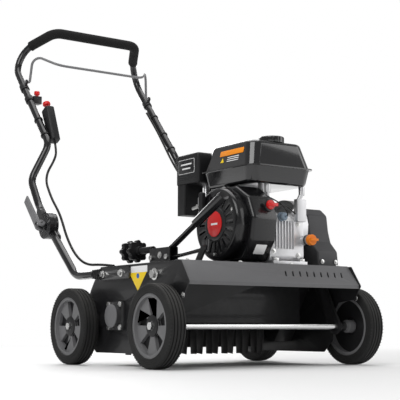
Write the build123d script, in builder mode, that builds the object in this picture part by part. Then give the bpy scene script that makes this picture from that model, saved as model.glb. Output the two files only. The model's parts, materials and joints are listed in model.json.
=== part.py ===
from build123d import *
from math import atan2, cos, hypot, radians, sin
import os

os.makedirs("parts", exist_ok=True)

# A petrol lawn scarifier: a wheeled steel body with a bladed rotor, a small petrol engine on its deck,
# a belt drive under a cover, a lift lever for the front wheels, and a folding handle behind.
# Millimetres. The front faces -Y, +X is the right side seen from the front, +Z is up.
# The origin is on the ground, under the middle of the whole machine's box.

# ---- driving dimensions ----
mid_y = -240.0             # midway between the axles
wheelbase = 410.0
wheel_radius = 100.0
wheel_width = 43.0
rim_radius = 76.0
axle_radius = 8.0
wheel_gap = 13.0           # side plate to wheel
plate_x = 268.0            # outer face of a side plate
plate_thickness = 3.0
deck_height = 253.0        # top of the deck
sheet = 3.0                # deck and baffle steel
running_fit = 0.05         # radial clearance of a turning pair
gap = 0.5                  # clearance between faces that move past each other
skirt_height = 32.0        # ground to the side plates' lower edge
rotor_y = mid_y + 40.0
rotor_z = 126.0
blade_radius = 100.0
blade_thickness = 3.0
blade_count = 18
rotor_shaft_radius = 14.0
yoke_pivot_from_axle = (67.0, 125.0)    # back and up from the front axle
engine_y = mid_y - 110.0   # crankshaft axis
crank_height = 106.0       # crankshaft axis above the deck
crank_radius = 9.5
engine_pulley_radius = 40.0
rotor_pulley_radius = 50.0
belt_x = 230.0             # middle of the belt
belt_width = 12.0
belt_thickness = 8.0
handle_tube = 11.0         # radius
handle_wall = 1.5
handle_half_width = 226.8
lower_tube_offset = 17.0   # side plate to the lower tube's middle
fold_y = mid_y + 406.0
fold_z = 384.0
fold_disc_radius = 38.0
grip_radius = 15.5
control_rod = 4.0          # radius of the bail
lever_x = -150.0           # lift lever and depth control
bolt_radius = 4.0

# ---- derived places ----
axle_z = wheel_radius
front_axle_y = mid_y - wheelbase / 2
rear_axle_y = mid_y + wheelbase / 2
plate_inner_x = plate_x - plate_thickness
wheel_x = plate_x + 3.0 + wheel_gap + wheel_width / 2
pivot_y = front_axle_y + yoke_pivot_from_axle[0]
pivot_z = axle_z + yoke_pivot_from_axle[1]
deck_under = deck_height - sheet
crank_z = deck_height + crank_height
lower_tube_x = plate_x + lower_tube_offset
sides = {"left": -1, "right": 1}


# ---- shapes used many times ----
def place_x(x, y, z):
    return Plane(origin=(x, y, z), x_dir=(0, 1, 0), z_dir=(1, 0, 0))


def place_y(x, y, z):
    return Plane(origin=(x, y, z), x_dir=(1, 0, 0), z_dir=(0, -1, 0))


def cylinder_x(radius, x0, x1, y, z, mode=Mode.ADD):
    with Locations(place_x((x0 + x1) / 2, y, z)):
        Cylinder(radius, abs(x1 - x0), mode=mode)


def cylinder_y(radius, y0, y1, x, z, mode=Mode.ADD):
    with Locations(place_y(x, (y0 + y1) / 2, z)):
        Cylinder(radius, abs(y1 - y0), mode=mode)


def cylinder_z(radius, z0, z1, x, y, mode=Mode.ADD):
    with Locations((x, y, (z0 + z1) / 2)):
        Cylinder(radius, abs(z1 - z0), mode=mode)


def block(x0, x1, y0, y1, z0, z1, mode=Mode.ADD):
    with Locations(((x0 + x1) / 2, (y0 + y1) / 2, (z0 + z1) / 2)):
        Box(abs(x1 - x0), abs(y1 - y0), abs(z1 - z0), mode=mode)


def slab_x(points, x0, x1, corner=0.0, mode=Mode.ADD):
    # a flat piece with its outline in (y, z), between x0 and x1
    with BuildSketch(Plane.YZ.offset(min(x0, x1))) as profile:
        Polygon(*points, align=None)
        if corner:
            fillet(profile.vertices(), corner)
    extrude(profile.sketch, amount=abs(x1 - x0), mode=mode)


def slab_y(points, y0, y1, corner=0.0, mode=Mode.ADD):
    # a flat piece with its outline in (x, z), between y0 and y1
    with BuildSketch(place_y(0, max(y0, y1), 0)) as profile:
        Polygon(*points, align=None)
        if corner:
            fillet(profile.vertices(), corner)
    extrude(profile.sketch, amount=abs(y1 - y0), mode=mode)


def slab_z(points, z0, z1, corner=0.0, mode=Mode.ADD):
    # a flat piece with its outline in (x, y), between z0 and z1
    with BuildSketch(Plane.XY.offset(z0)) as profile:
        Polygon(*points, align=None)
        if corner:
            fillet(profile.vertices(), corner)
    extrude(profile.sketch, amount=z1 - z0, mode=mode)


def nut_x(across, x0, x1, y, z):
    with BuildSketch(place_x(min(x0, x1), y, z)) as profile:
        RegularPolygon(across / 2, 6, major_radius=False)
    extrude(profile.sketch, amount=abs(x1 - x0))


def nut_z(across, z0, z1, x, y):
    with BuildSketch(Plane((x, y, z0))) as profile:
        RegularPolygon(across / 2, 6, major_radius=False)
    extrude(profile.sketch, amount=z1 - z0)


def rod(start, end, radius, mode=Mode.ADD):
    # a round bar between two points
    a = Vector(*start)
    b = Vector(*end)
    with Locations(Plane(origin=(a + b) * 0.5, z_dir=b - a)):
        Cylinder(radius, (b - a).length, mode=mode)


def along(start, end, distance):
    # the point a distance from start towards end
    a = Vector(*start)
    b = Vector(*end)
    return tuple(a + (b - a).normalized() * distance)


def bent_tube(points, bends, outer, inner=0.0):
    # a tube or bar with straight runs and round bends
    with BuildPart() as tube:
        with BuildLine() as path:
            FilletPolyline(*points, radius=bends)
        with BuildSketch(path.line ^ 0):
            Circle(outer)
            if inner:
                Circle(inner, mode=Mode.SUBTRACT)
        sweep()
    return tube.part


def save(part, name):
    part.label = name
    export_step(part, f"parts/{name}.step")


# ---- wheels ----
shoulder = 7.0
tread_grooves = (-13.5, -4.5, 4.5, 13.5)
groove_width = 3.0
groove_depth = 2.5
rim_width = wheel_width - 5.0
rim_ring = 8.0
web_thickness = 10.0
hub_radius = 17.0
hub_reach = 12.0           # middle of the wheel to the hub's outer end
window_count = 5
window_inner = 24.0
window_outer = rim_radius - rim_ring - 3.0
window_narrow = 15.0
window_wide = 39.0


def make_tyre(x, y):
    plane = place_x(x, y, axle_z)
    with BuildPart() as tyre:
        with BuildSketch(plane):
            Circle(wheel_radius)
            Circle(rim_radius, mode=Mode.SUBTRACT)
        extrude(amount=wheel_width / 2, both=True)
        fillet(tyre.edges().filter_by(GeomType.CIRCLE).sort_by(SortBy.RADIUS)[-2:], shoulder)
        for across in tread_grooves:
            with BuildSketch(plane.offset(across - groove_width / 2)):
                Circle(wheel_radius + 1)
                Circle(wheel_radius - groove_depth, mode=Mode.SUBTRACT)
            extrude(amount=groove_width, mode=Mode.SUBTRACT)
    return tyre.part


def make_rim(x, y, side):
    plane = place_x(x, y, axle_z)
    with BuildPart() as rim:
        with BuildSketch(plane):
            Circle(rim_radius)
            Circle(rim_radius - rim_ring, mode=Mode.SUBTRACT)
        extrude(amount=rim_width / 2, both=True)
        with BuildSketch(plane.offset(side * web_thickness / 2)):
            Circle(rim_radius - rim_ring + 1)
            with PolarLocations(0, window_count, start_angle=90):
                Polygon(
                    (window_inner, -window_narrow / 2),
                    (window_outer, -window_wide / 2),
                    (window_outer, window_wide / 2),
                    (window_inner, window_narrow / 2),
                    align=None,
                    mode=Mode.SUBTRACT,
                )
        extrude(amount=web_thickness / 2, both=True)
        with BuildSketch(plane.offset(-side * rim_width / 2)):
            Circle(hub_radius)
        extrude(amount=side * (rim_width / 2 + hub_reach))
        with BuildSketch(plane):
            Circle(axle_radius + running_fit)
        extrude(amount=wheel_width, both=True, mode=Mode.SUBTRACT)
    return rim.part


for end, y in (("front", front_axle_y), ("rear", rear_axle_y)):
    for name, side in sides.items():
        save(make_tyre(side * wheel_x, y), f"tyre_{end}_{name}")
        save(make_rim(side * wheel_x, y, side), f"rim_{end}_{name}")

# ---- axles, with a spacer inside each wheel and a nut outside it ----
hub_inner_x = wheel_x - rim_width / 2
hub_outer_x = wheel_x + hub_reach
axle_end_x = hub_outer_x + gap
nut_across = 17.0
nut_height = 7.0
yoke_arm_x = 245.0 + plate_x - 268.0       # inner face of a yoke arm
yoke_arm_thickness = 6.0

for end, y in (("front", front_axle_y), ("rear", rear_axle_y)):
    spacer_x = yoke_arm_x + yoke_arm_thickness if end == "front" else plate_x
    with BuildPart() as axle:
        cylinder_x(axle_radius, -axle_end_x, axle_end_x, y, axle_z)
        for side in sides.values():
            cylinder_x(axle_radius + 4.0, side * spacer_x, side * (hub_inner_x - gap), y, axle_z)
            nut_x(nut_across, side * axle_end_x, side * (axle_end_x + nut_height), y, axle_z)
    save(axle.part, f"{end}_axle")

# ---- swing yoke that carries the front axle, hung on two pivot bolts ----
yoke_tube_radius = 12.0
yoke_web = 21.0
pivot_bolt_radius = 6.0
crank_arm_reach = (-47.0, 63.0)            # pivot to the crank arm's eye
crank_eye_radius = 9.0
crank_pin_radius = 4.0
crank_arm_thickness = 6.0
crank_arm_x = lever_x - 5.0                # right face of the crank arm
crank_pin_length = 9.0
crank_eye = (pivot_y + crank_arm_reach[0], pivot_z + crank_arm_reach[1])


def strap_outline(y0, z0, y1, z1, half):
    # four corners of a straight strap from one point to another
    length = hypot(y1 - y0, z1 - z0)
    dy = half * (z1 - z0) / length
    dz = -half * (y1 - y0) / length
    return [(y0 + dy, z0 + dz), (y1 + dy, z1 + dz), (y1 - dy, z1 - dz), (y0 - dy, z0 - dz)]


def strap_x(y0, z0, y1, z1, half, x0, x1):
    # a flat link with round ends
    slab_x(strap_outline(y0, z0, y1, z1, half), x0, x1)
    cylinder_x(half, x0, x1, y0, z0)
    cylinder_x(half, x0, x1, y1, z1)


with BuildPart() as yoke:
    for side in sides.values():
        inner = side * yoke_arm_x
        outer = side * (yoke_arm_x + yoke_arm_thickness)
        strap_x(pivot_y, pivot_z, front_axle_y, axle_z, yoke_web, inner, outer)
    cylinder_x(yoke_tube_radius, -yoke_arm_x, yoke_arm_x, pivot_y, pivot_z)
    strap_x(pivot_y, pivot_z, *crank_eye, crank_eye_radius, crank_arm_x - crank_arm_thickness, crank_arm_x)
    cylinder_x(crank_pin_radius, crank_arm_x, crank_arm_x + crank_pin_length, *crank_eye)
    pivot_bore = pivot_bolt_radius + running_fit
    cylinder_x(pivot_bore, -plate_x, plate_x, pivot_y, pivot_z, mode=Mode.SUBTRACT)
    cylinder_x(axle_radius, -plate_x, plate_x, front_axle_y, axle_z, mode=Mode.SUBTRACT)
save(yoke.part, "front_yoke")

# ---- side plates ----
plate_outline = [
    (front_axle_y - 45.0, deck_height + 1.0),
    (front_axle_y - 81.0, deck_height - 51.0),
    (front_axle_y - 57.0, axle_z + 68.0),
    (front_axle_y + 6.0, axle_z + 62.0),
    (front_axle_y + 26.0, axle_z + 34.0),
    (front_axle_y + 32.0, skirt_height + 30.0),
    (front_axle_y + 66.0, skirt_height),
    (rear_axle_y - 55.0, skirt_height),
    (rear_axle_y - 14.0, axle_z - 38.0),
    (rear_axle_y + 17.0, axle_z - 12.0),
    (rear_axle_y + 17.0, axle_z + 16.0),
    (rear_axle_y - 22.0, axle_z + 94.0),
    (rear_axle_y - 41.0, axle_z + 118.0),
    (rear_axle_y - 76.0, deck_height + 1.0),
]
plate_corner = 5.0
bearing_hole = 31.0
handle_bolts_y = (mid_y + 12.3, mid_y + 105.5)
handle_bolt_z = deck_height - 19.0
bearing_bolt_angles = (45, 135, 225, 315)
bearing_bolt_circle = 41.0

for name, side in sides.items():
    with BuildPart() as side_plate:
        slab_x(plate_outline, side * plate_inner_x, side * plate_x, plate_corner)
        cuts = [(bearing_hole, rotor_y, rotor_z), (pivot_bolt_radius, pivot_y, pivot_z)]
        cuts += [(axle_radius, rear_axle_y, axle_z)]
        cuts += [(bolt_radius, y, handle_bolt_z) for y in handle_bolts_y]
        for turn in bearing_bolt_angles:
            bolt_y = rotor_y + bearing_bolt_circle * cos(radians(turn))
            bolt_z = rotor_z + bearing_bolt_circle * sin(radians(turn))
            cuts += [(bolt_radius, bolt_y, bolt_z)]
        for radius, y, z in cuts:
            cylinder_x(radius, side * (plate_inner_x - 1), side * (plate_x + 1), y, z, mode=Mode.SUBTRACT)
    save(side_plate.part, f"side_plate_{name}")

# ---- deck: one sheet, flat on top and folded down at the back ----
deck_front_y = front_axle_y - 32.0
deck_fold_y = rear_axle_y - 76.0
deck_back_y = rear_axle_y - 26.0
deck_back_z = axle_z + 96.0
crank_slot = (pivot_y - 75.0, pivot_y + 8.0)
belt_slot = (engine_y - 62.0, rotor_y - 2.0)
belt_slot_half = belt_width / 2 + 12.0

with BuildPart() as deck:
    deck_line = [
        (deck_front_y, deck_under),
        (deck_front_y, deck_height),
        (deck_fold_y, deck_height),
        (deck_back_y + 2.5, deck_back_z),
        (deck_back_y, deck_back_z - 2.0),
        (deck_fold_y - 1.5, deck_under),
    ]
    slab_x(deck_line, -plate_inner_x, plate_inner_x)
    slot_x0 = crank_arm_x - crank_arm_thickness - 4.0
    block(slot_x0, crank_arm_x + 4.0, *crank_slot, deck_under - 1, deck_height + 1, mode=Mode.SUBTRACT)
    belt_slot_x = (belt_x - belt_slot_half, belt_x + belt_slot_half)
    block(*belt_slot_x, *belt_slot, deck_under - 1, deck_height + 1, mode=Mode.SUBTRACT)
save(deck.part, "deck_plate")

# ---- front hood: a folded grey sheet with slanted vent slots ----
hood_top_y = front_axle_y - 32.0
hood_nose_y = front_axle_y - 76.0
hood_nose_z = deck_height - 48.0
hood_lip_z = deck_height - 57.0
hood_sheet = 2.5
hood_half = plate_inner_x - gap
slot_count = 9
slot_pitch = 23.0
slot_length = 20.0
slot_width = 5.0
slot_lean = 20.0
slot_row_x = 132.0

with BuildPart() as hood:
    hood_line = [
        (hood_top_y + 14.0, deck_height),
        (hood_top_y + 14.0, deck_height + hood_sheet),
        (hood_top_y - 1.0, deck_height + hood_sheet),
        (hood_nose_y, hood_nose_z),
        (hood_nose_y, hood_lip_z),
        (hood_nose_y + hood_sheet, hood_lip_z),
        (hood_nose_y + hood_sheet, hood_nose_z - 1.0),
        (hood_top_y - 0.2, deck_height),
    ]
    slab_x(hood_line, -hood_half, hood_half)
    slope = atan2(deck_height + hood_sheet - hood_nose_z, hood_top_y - 1.0 - hood_nose_y)
    slope_mid_y = (hood_top_y - 1.0 + hood_nose_y) / 2
    slope_mid_z = (deck_height + hood_sheet + hood_nose_z) / 2
    slope_plane = Plane(
        origin=(slot_row_x, slope_mid_y, slope_mid_z),
        x_dir=(1, 0, 0),
        z_dir=(0, -sin(slope), cos(slope)),
    )
    with BuildSketch(slope_plane):
        with GridLocations(slot_pitch, 1, slot_count, 1):
            SlotOverall(slot_length, slot_width, rotation=90 - slot_lean)
    extrude(amount=hood_sheet * 3, both=True, mode=Mode.SUBTRACT)
save(hood.part, "front_hood")

# ---- panels under the deck ----
baffle_y = pivot_y + 26.0
baffle_half = yoke_arm_x - 5.0
guard_x0 = belt_x - 24.0
baffle_low_z = rotor_z - 20.0

with BuildPart() as baffle:
    block(-baffle_half, guard_x0 - gap, baffle_y, baffle_y + sheet, baffle_low_z, deck_under)
    for side in sides.values():
        reach = baffle_half - 12.0 if side < 0 else guard_x0 - 18.0
        block(side * (reach - 30), side * reach, baffle_y - 12, baffle_y, deck_under - sheet, deck_under)
save(baffle.part, "inner_baffle")

guard_outline = [
    (rotor_y - 145.0, deck_under),
    (rotor_y - 145.0, deck_under - 12.0),
    (rotor_y - 66.0, rotor_z),
    (rotor_y - 62.0, rotor_z - 36.0),
    (rotor_y - 40.0, rotor_z - 66.0),
    (rotor_y + 40.0, rotor_z - 66.0),
    (rotor_y + 66.0, rotor_z - 30.0),
    (rotor_y + 86.0, rotor_z + 60.0),
    (rotor_y + 86.0, deck_under),
]
guard_wall = 2.0
with BuildPart() as guard:
    slab_x(guard_outline, guard_x0, guard_x0 + guard_wall)
    guard_edge = list(zip(guard_outline[:-1], guard_outline[1:]))
    for (y0, z0), (y1, z1) in guard_edge:
        rim_points = strap_outline(y0, z0, y1, z1, guard_wall / 2)
        slab_x(rim_points, guard_x0, plate_inner_x - gap)
    shaft_pass = rotor_shaft_radius + 4.0
    cylinder_x(shaft_pass, guard_x0 - 1, guard_x0 + 5, rotor_y, rotor_z, mode=Mode.SUBTRACT)
    above = (rotor_y - 160, rotor_y + 160, deck_under, deck_height + 20)
    block(guard_x0 - 1, plate_x, *above, mode=Mode.SUBTRACT)
save(guard.part, "belt_lower_guard")

# ---- pulleys ----
pulley_half = belt_width / 2 + 4.0


def pulley(radius, y, z):
    # a grooved pulley, keyed on its shaft
    cylinder_x(radius + 2.0, belt_x - pulley_half, belt_x + pulley_half, y, z)
    groove_half = belt_width / 2 + gap
    with BuildSketch(place_x(belt_x - groove_half, y, z)) as groove:
        Circle(radius + 3.0)
        Circle(radius - belt_thickness - gap, mode=Mode.SUBTRACT)
    extrude(groove.sketch, amount=2 * groove_half, mode=Mode.SUBTRACT)


# ---- rotor: shaft in two flanged bearings, blades between spacers ----
shaft_shoulder_x = plate_inner_x - 14.0
blade_bore = rotor_shaft_radius
blade_span = (-(plate_inner_x - 30.0), guard_x0 - 14.0)
blade_pitch = (blade_span[1] - blade_span[0]) / (blade_count - 1)
spacer_radius = 21.0
tine_count = 4
tine_root = 30.0
tine_half = 16.0
tine_tip = 13.0
tine_stagger = 6.0         # degrees between one blade and the next
shaft_end_x = plate_x + 16.0
bearing_seat_radius = 12.5

with BuildPart() as rotor_shaft:
    cylinder_x(rotor_shaft_radius, -shaft_shoulder_x, shaft_shoulder_x, rotor_y, rotor_z)
    cylinder_x(bearing_seat_radius, -shaft_end_x, shaft_end_x, rotor_y, rotor_z)
    for index in range(blade_count - 1):
        x = blade_span[0] + index * blade_pitch
        spacer = (x + blade_thickness / 2, x + blade_pitch - blade_thickness / 2)
        cylinder_x(spacer_radius, *spacer, rotor_y, rotor_z)
    pulley(rotor_pulley_radius, rotor_y, rotor_z)
save(rotor_shaft.part, "rotor_shaft")

with BuildPart() as blades:
    for index in range(blade_count):
        x = blade_span[0] + index * blade_pitch
        plane = place_x(x - blade_thickness / 2, rotor_y, rotor_z)
        with BuildSketch(plane):
            Circle(tine_root)
            with PolarLocations(0, tine_count, start_angle=270 + tine_stagger * (index % 2)):
                Polygon(
                    (0, -tine_half),
                    (blade_radius - 1, -tine_tip),
                    (blade_radius - 1, tine_tip),
                    (0, tine_half),
                    align=None,
                )
            Circle(blade_bore, mode=Mode.SUBTRACT)
        extrude(amount=blade_thickness)
save(blades.part, "rotor_blades")

flange_thickness = 6.0
housing_radius = 30.0
housing_depth = 19.0
with BuildPart() as housings:
    for side in sides.values():
        face = side * plate_x
        with BuildSketch(place_x(min(face, face + side * flange_thickness), rotor_y, rotor_z)) as flange:
            Rectangle(72, 72)
            fillet(flange.vertices(), 12)
        extrude(flange.sketch, amount=flange_thickness)
        cylinder_x(housing_radius, face, face + side * housing_depth, rotor_y, rotor_z)
    bearing_bore = bearing_seat_radius + running_fit
    room_x = shaft_end_x + gap
    cylinder_x(bearing_bore, -room_x, room_x, rotor_y, rotor_z, mode=Mode.SUBTRACT)
    for side in sides.values():
        for turn in bearing_bolt_angles:
            bolt_y = rotor_y + bearing_bolt_circle * cos(radians(turn))
            bolt_z = rotor_z + bearing_bolt_circle * sin(radians(turn))
            x_pair = (side * (plate_x - 1), side * (plate_x + flange_thickness + 1))
            cylinder_x(bolt_radius, *x_pair, bolt_y, bolt_z, mode=Mode.SUBTRACT)
save(housings.part, "rotor_bearings")

# ---- belt ----
def belt_loop(grow):
    # outline of the belt round both pulleys, in (y, z), as two arcs and two tangent runs
    distance = hypot(rotor_y - engine_y, rotor_z - crank_z)
    direction = atan2(rotor_z - crank_z, rotor_y - engine_y)
    r0 = engine_pulley_radius + grow
    r1 = rotor_pulley_radius + grow
    lean = atan2(r1 - r0, distance)
    ends = []
    for turn in (direction + radians(90) + lean, direction - radians(90) - lean):
        ends.append(
            (
                (engine_y + r0 * cos(turn), crank_z + r0 * sin(turn)),
                (rotor_y + r1 * cos(turn), rotor_z + r1 * sin(turn)),
            )
        )
    top = (engine_y - r0 * cos(direction), crank_z - r0 * sin(direction))
    low = (rotor_y + r1 * cos(direction), rotor_z + r1 * sin(direction))
    return ends, top, low


with BuildPart() as belt:
    with BuildSketch(Plane.YZ.offset(belt_x - belt_width / 2)) as loop:
        for grow, mode in ((0.0, Mode.ADD), (-belt_thickness, Mode.SUBTRACT)):
            ends, top, low = belt_loop(grow)
            with BuildLine() as edge:
                Line(ends[0][0], ends[0][1])
                ThreePointArc(ends[0][1], low, ends[1][1])
                Line(ends[1][1], ends[1][0])
                ThreePointArc(ends[1][0], top, ends[0][0])
            make_face(mode=mode)
    extrude(amount=belt_width)
save(belt.part, "drive_belt")

# ---- idler that tightens the belt ----
idler_y = rotor_y + 40.0
idler_z = rotor_z + 91.0
idler_pivot_y = rotor_y + 72.0
idler_pivot_z = rotor_z + 64.0
idler_radius = 20.0
idler_arm_x = belt_x + belt_width / 2 + 4.0
idler_arm_thickness = 4.0
with BuildPart() as idler_arm:
    arm_x = (idler_arm_x, idler_arm_x + idler_arm_thickness)
    strap_x(idler_pivot_y, idler_pivot_z, idler_y, idler_z, 10.0, *arm_x)
    cylinder_x(6.0, belt_x - belt_width / 2 - 3, idler_arm_x, idler_y, idler_z)
    bore_x = (idler_arm_x - 1, idler_arm_x + 9)
    cylinder_x(5.0 + running_fit, *bore_x, idler_pivot_y, idler_pivot_z, mode=Mode.SUBTRACT)
    cylinder_x(idler_radius, belt_x - belt_width / 2 - 1, belt_x + belt_width / 2 + 1, idler_y, idler_z)
save(idler_arm.part, "belt_idler")

# ---- belt cover: a dark box with a narrow neck over the engine's pulley ----
cover_x0 = belt_x - 35.0
cover_x1 = belt_x + 35.0
cover_wall = 2.0
cover_outline = [
    (engine_y - 95.0, deck_height),
    (engine_y - 90.0, deck_height + 43.0),
    (engine_y - 65.0, deck_height + 69.0),
    (engine_y - 56.0, deck_height + 99.0),
    (engine_y - 50.0, crank_z + engine_pulley_radius - 4.0),
    (engine_y - 26.0, crank_z + engine_pulley_radius + 15.0),
    (engine_y + 26.0, crank_z + engine_pulley_radius + 15.0),
    (engine_y + 58.0, crank_z + engine_pulley_radius - 8.0),
    (rotor_y - 12.0, deck_height + 52.0),
    (rotor_y + 34.0, deck_height),
]
with BuildPart() as cover:
    slab_x(cover_outline, cover_x0, cover_x1)
    long_edges = cover.edges().filter_by(Axis.X).sort_by(Axis.Z)[2:]
    fillet(long_edges, 13.0)
    across_edges = cover.edges().filter_by(Axis.X, reverse=True)
    top_edges = across_edges.filter_by_position(Axis.Z, deck_height + 2, 500)
    fillet(top_edges, 5.0)
    offset(amount=-cover_wall, openings=cover.faces().sort_by(Axis.Z)[0])
    cylinder_x(crank_radius + 12.0, cover_x0 - 1, cover_x0 + 5, engine_y, crank_z, mode=Mode.SUBTRACT)
save(cover.part, "belt_cover")

# ---- engine: crankcase, cylinder and covers ----
case_x1 = 150.0
case_wall = 8.0
case_front = engine_y - 87.0
case_back = engine_y + 85.0
pto_face = 188.0
shroud_x0 = -35.0
shroud_x1 = 39.0
recoil_face = -68.0
recoil_radius = 95.0
foot_height = 12.0
foot_out = 15.0

with BuildPart() as crankcase:
    block(shroud_x1 + gap, case_x1, case_front, case_back, deck_height + foot_height, crank_z + 33.0)
    fillet(crankcase.edges().filter_by(Axis.X), 16.0)
    foot_y = (case_front - foot_out, case_back + foot_out)
    block(shroud_x1 + gap, case_x1, *foot_y, deck_height, deck_height + foot_height)
    cylinder_x(76.0, case_x1, pto_face - 12, engine_y, crank_z)
    cylinder_x(32.0, pto_face - 12, pto_face, engine_y, crank_z)
    crank_pass = crank_radius + running_fit
    cylinder_x(70.0, shroud_x1 - 20, shroud_x1 + 6, engine_y, crank_z, mode=Mode.SUBTRACT)
    case_room = (case_front + case_wall, case_back - case_wall, deck_height + 20, crank_z + 25)
    block(shroud_x1 + 16, case_x1 - case_wall, *case_room, mode=Mode.SUBTRACT)
    cylinder_x(crank_pass, 0, pto_face + 1, engine_y, crank_z, mode=Mode.SUBTRACT)
    cylinder_y(12.0, case_front - 22, case_front + 8, 150.0, crank_z - 38.0)
    block(120.0, 149.0, case_front - 14, case_front, crank_z + 10, crank_z + 68)
save(crankcase.part, "crankcase")

cylinder_base = Vector(95.0, engine_y + 60.0, crank_z + 20.0)
head_direction = Vector(0, cos(radians(90 - 62)), sin(radians(90 - 62)))
fin_count = 8
fin_pitch = 7.5
with BuildPart() as cylinder:
    barrel_plane = Plane(origin=cylinder_base, x_dir=(1, 0, 0), z_dir=head_direction)
    with BuildSketch(barrel_plane.offset(20.0)):
        Rectangle(84, 84)
    extrude(amount=fin_count * fin_pitch)
    for index in range(fin_count):
        with BuildSketch(barrel_plane.offset(22.0 + index * fin_pitch)):
            Rectangle(108, 106)
        extrude(amount=3.0)
    block(0, 200, case_back - 200, case_back + gap, 100, 600, mode=Mode.SUBTRACT)
    foot_room = (case_back - 10, case_back + 300, deck_height, deck_height + foot_height + 14)
    block(0, 200, *foot_room, mode=Mode.SUBTRACT)
    block(-20, shroud_x1 + gap, case_back - 10, case_back + 300, 100, 600, mode=Mode.SUBTRACT)
save(cylinder.part, "cylinder_head")

shroud_outline = [
    (engine_y - 70.0, deck_height + 10.0),
    (engine_y - 108.0, deck_height + 62.0),
    (engine_y - 117.0, crank_z + 12.0),
    (engine_y - 94.0, crank_z + 66.0),
    (engine_y - 40.0, crank_z + 98.0),
    (engine_y + 70.0, crank_z + 98.0),
    (engine_y + 92.0, crank_z + 60.0),
    (engine_y + 80.0, crank_z - 40.0),
    (engine_y + 60.0, deck_height + 10.0),
]
shroud_wall = 2.5
with BuildPart() as shroud:
    slab_x(shroud_outline, shroud_x0, shroud_x1, 18.0)
    fillet(shroud.faces().sort_by(Axis.X)[0].edges(), 9.0)
    with BuildSketch(Plane.YZ.offset(shroud_x0 + shroud_wall)) as room:
        Polygon(*shroud_outline, align=None)
        fillet(room.vertices(), 18.0)
        offset(amount=-9.0 * 0.3 - shroud_wall, mode=Mode.REPLACE)
    extrude(room.sketch, amount=-shroud_x0 + shroud_x1, mode=Mode.SUBTRACT)
    cylinder_x(recoil_radius - 8.0, shroud_x0 - 1, shroud_x0 + 20, engine_y, crank_z, mode=Mode.SUBTRACT)
save(shroud.part, "fan_shroud")

recoil_round = 12.0
pull_y = engine_y + 48.0
pull_z = crank_z + 60.0
pull_x = recoil_face - 1.0
rope_radius = 3.0
slat_count = 20
recoil_plane = place_x(recoil_face, engine_y, crank_z)
with BuildPart() as recoil:
    cylinder_x(recoil_radius, recoil_face, shroud_x0, engine_y, crank_z)
    fillet(recoil.faces().sort_by(Axis.X)[0].edges(), recoil_round)
    inner_radius = recoil_radius - recoil_round * 0.3 - shroud_wall
    cylinder_x(inner_radius, recoil_face + shroud_wall, shroud_x0, engine_y, crank_z, mode=Mode.SUBTRACT)
    with BuildSketch(recoil_plane.offset(-1)):
        with PolarLocations(62.0, slat_count):
            SlotOverall(30.0, 5.5)
    extrude(amount=6.0, mode=Mode.SUBTRACT)
    cylinder_x(13.0, recoil_face, recoil_face + shroud_wall, pull_y, pull_z)
    cylinder_x(rope_radius + 1.0, recoil_face - 1, recoil_face + 8, pull_y, pull_z, mode=Mode.SUBTRACT)
save(recoil.part, "recoil_cover")

with BuildPart() as recoil_grip:
    block(pull_x - 16, pull_x, pull_y - 8, pull_y + 8, pull_z - 26, pull_z + 26)
    fillet(recoil_grip.edges(), 5.0)
    cylinder_x(rope_radius, pull_x, pull_x + 9.0, pull_y, pull_z)
save(recoil_grip.part, "recoil_grip")

fan_radius = 72.0
vane_count = 16
with BuildPart() as fan:
    cylinder_x(fan_radius, -8.0, 4.0, engine_y, crank_z)
    with BuildSketch(place_x(-24.0, engine_y, crank_z)):
        with PolarLocations(54.0, vane_count):
            Rectangle(26.0, 3.0)
    extrude(amount=16.0)
    cylinder_x(crank_radius, -10.0, 6.0, engine_y, crank_z, mode=Mode.SUBTRACT)
save(fan.part, "flywheel_fan")
with BuildPart() as crankshaft:
    cylinder_x(crank_radius, -20.0, belt_x + pulley_half + 6.0, engine_y, crank_z)
    pulley(engine_pulley_radius, engine_y, crank_z)
save(crankshaft.part, "crankshaft")

# ---- fuel tank: two pressed halves with a seam flange ----
tank_x0 = -16.0
tank_x1 = 190.0
tank_y0 = engine_y - 84.0
tank_y1 = engine_y + 144.0
tank_seam_z = crank_z + 151.0
tank_top_z = crank_z + 220.0
tank_base_z = crank_z + 106.0
tank_wall = 2.0
tank_corner = 30.0
flange_out = 6.0
flange_half = 1.6
cap_x = 92.0
cap_y = engine_y - 30.0
cap_radius = 33.5


def tank_half(z0, z1, shrink, grow):
    # a tapered half, larger at the seam, with a drafted side and a round far edge
    with BuildPart() as half:
        for z, inset in ((z0, 0.0), (z1, shrink)):
            with BuildSketch(Plane.XY.offset(z)) as level:
                Polygon(
                    (tank_x0 + inset - grow, tank_y0 + inset - grow),
                    (tank_x1 - inset + grow, tank_y0 + inset - grow),
                    (tank_x1 - inset + grow, tank_y1 - inset + grow),
                    (tank_x0 + inset - grow, tank_y1 - inset + grow),
                    align=None,
                )
                fillet(level.vertices(), tank_corner + grow)
        loft()
    return half.part


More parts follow.
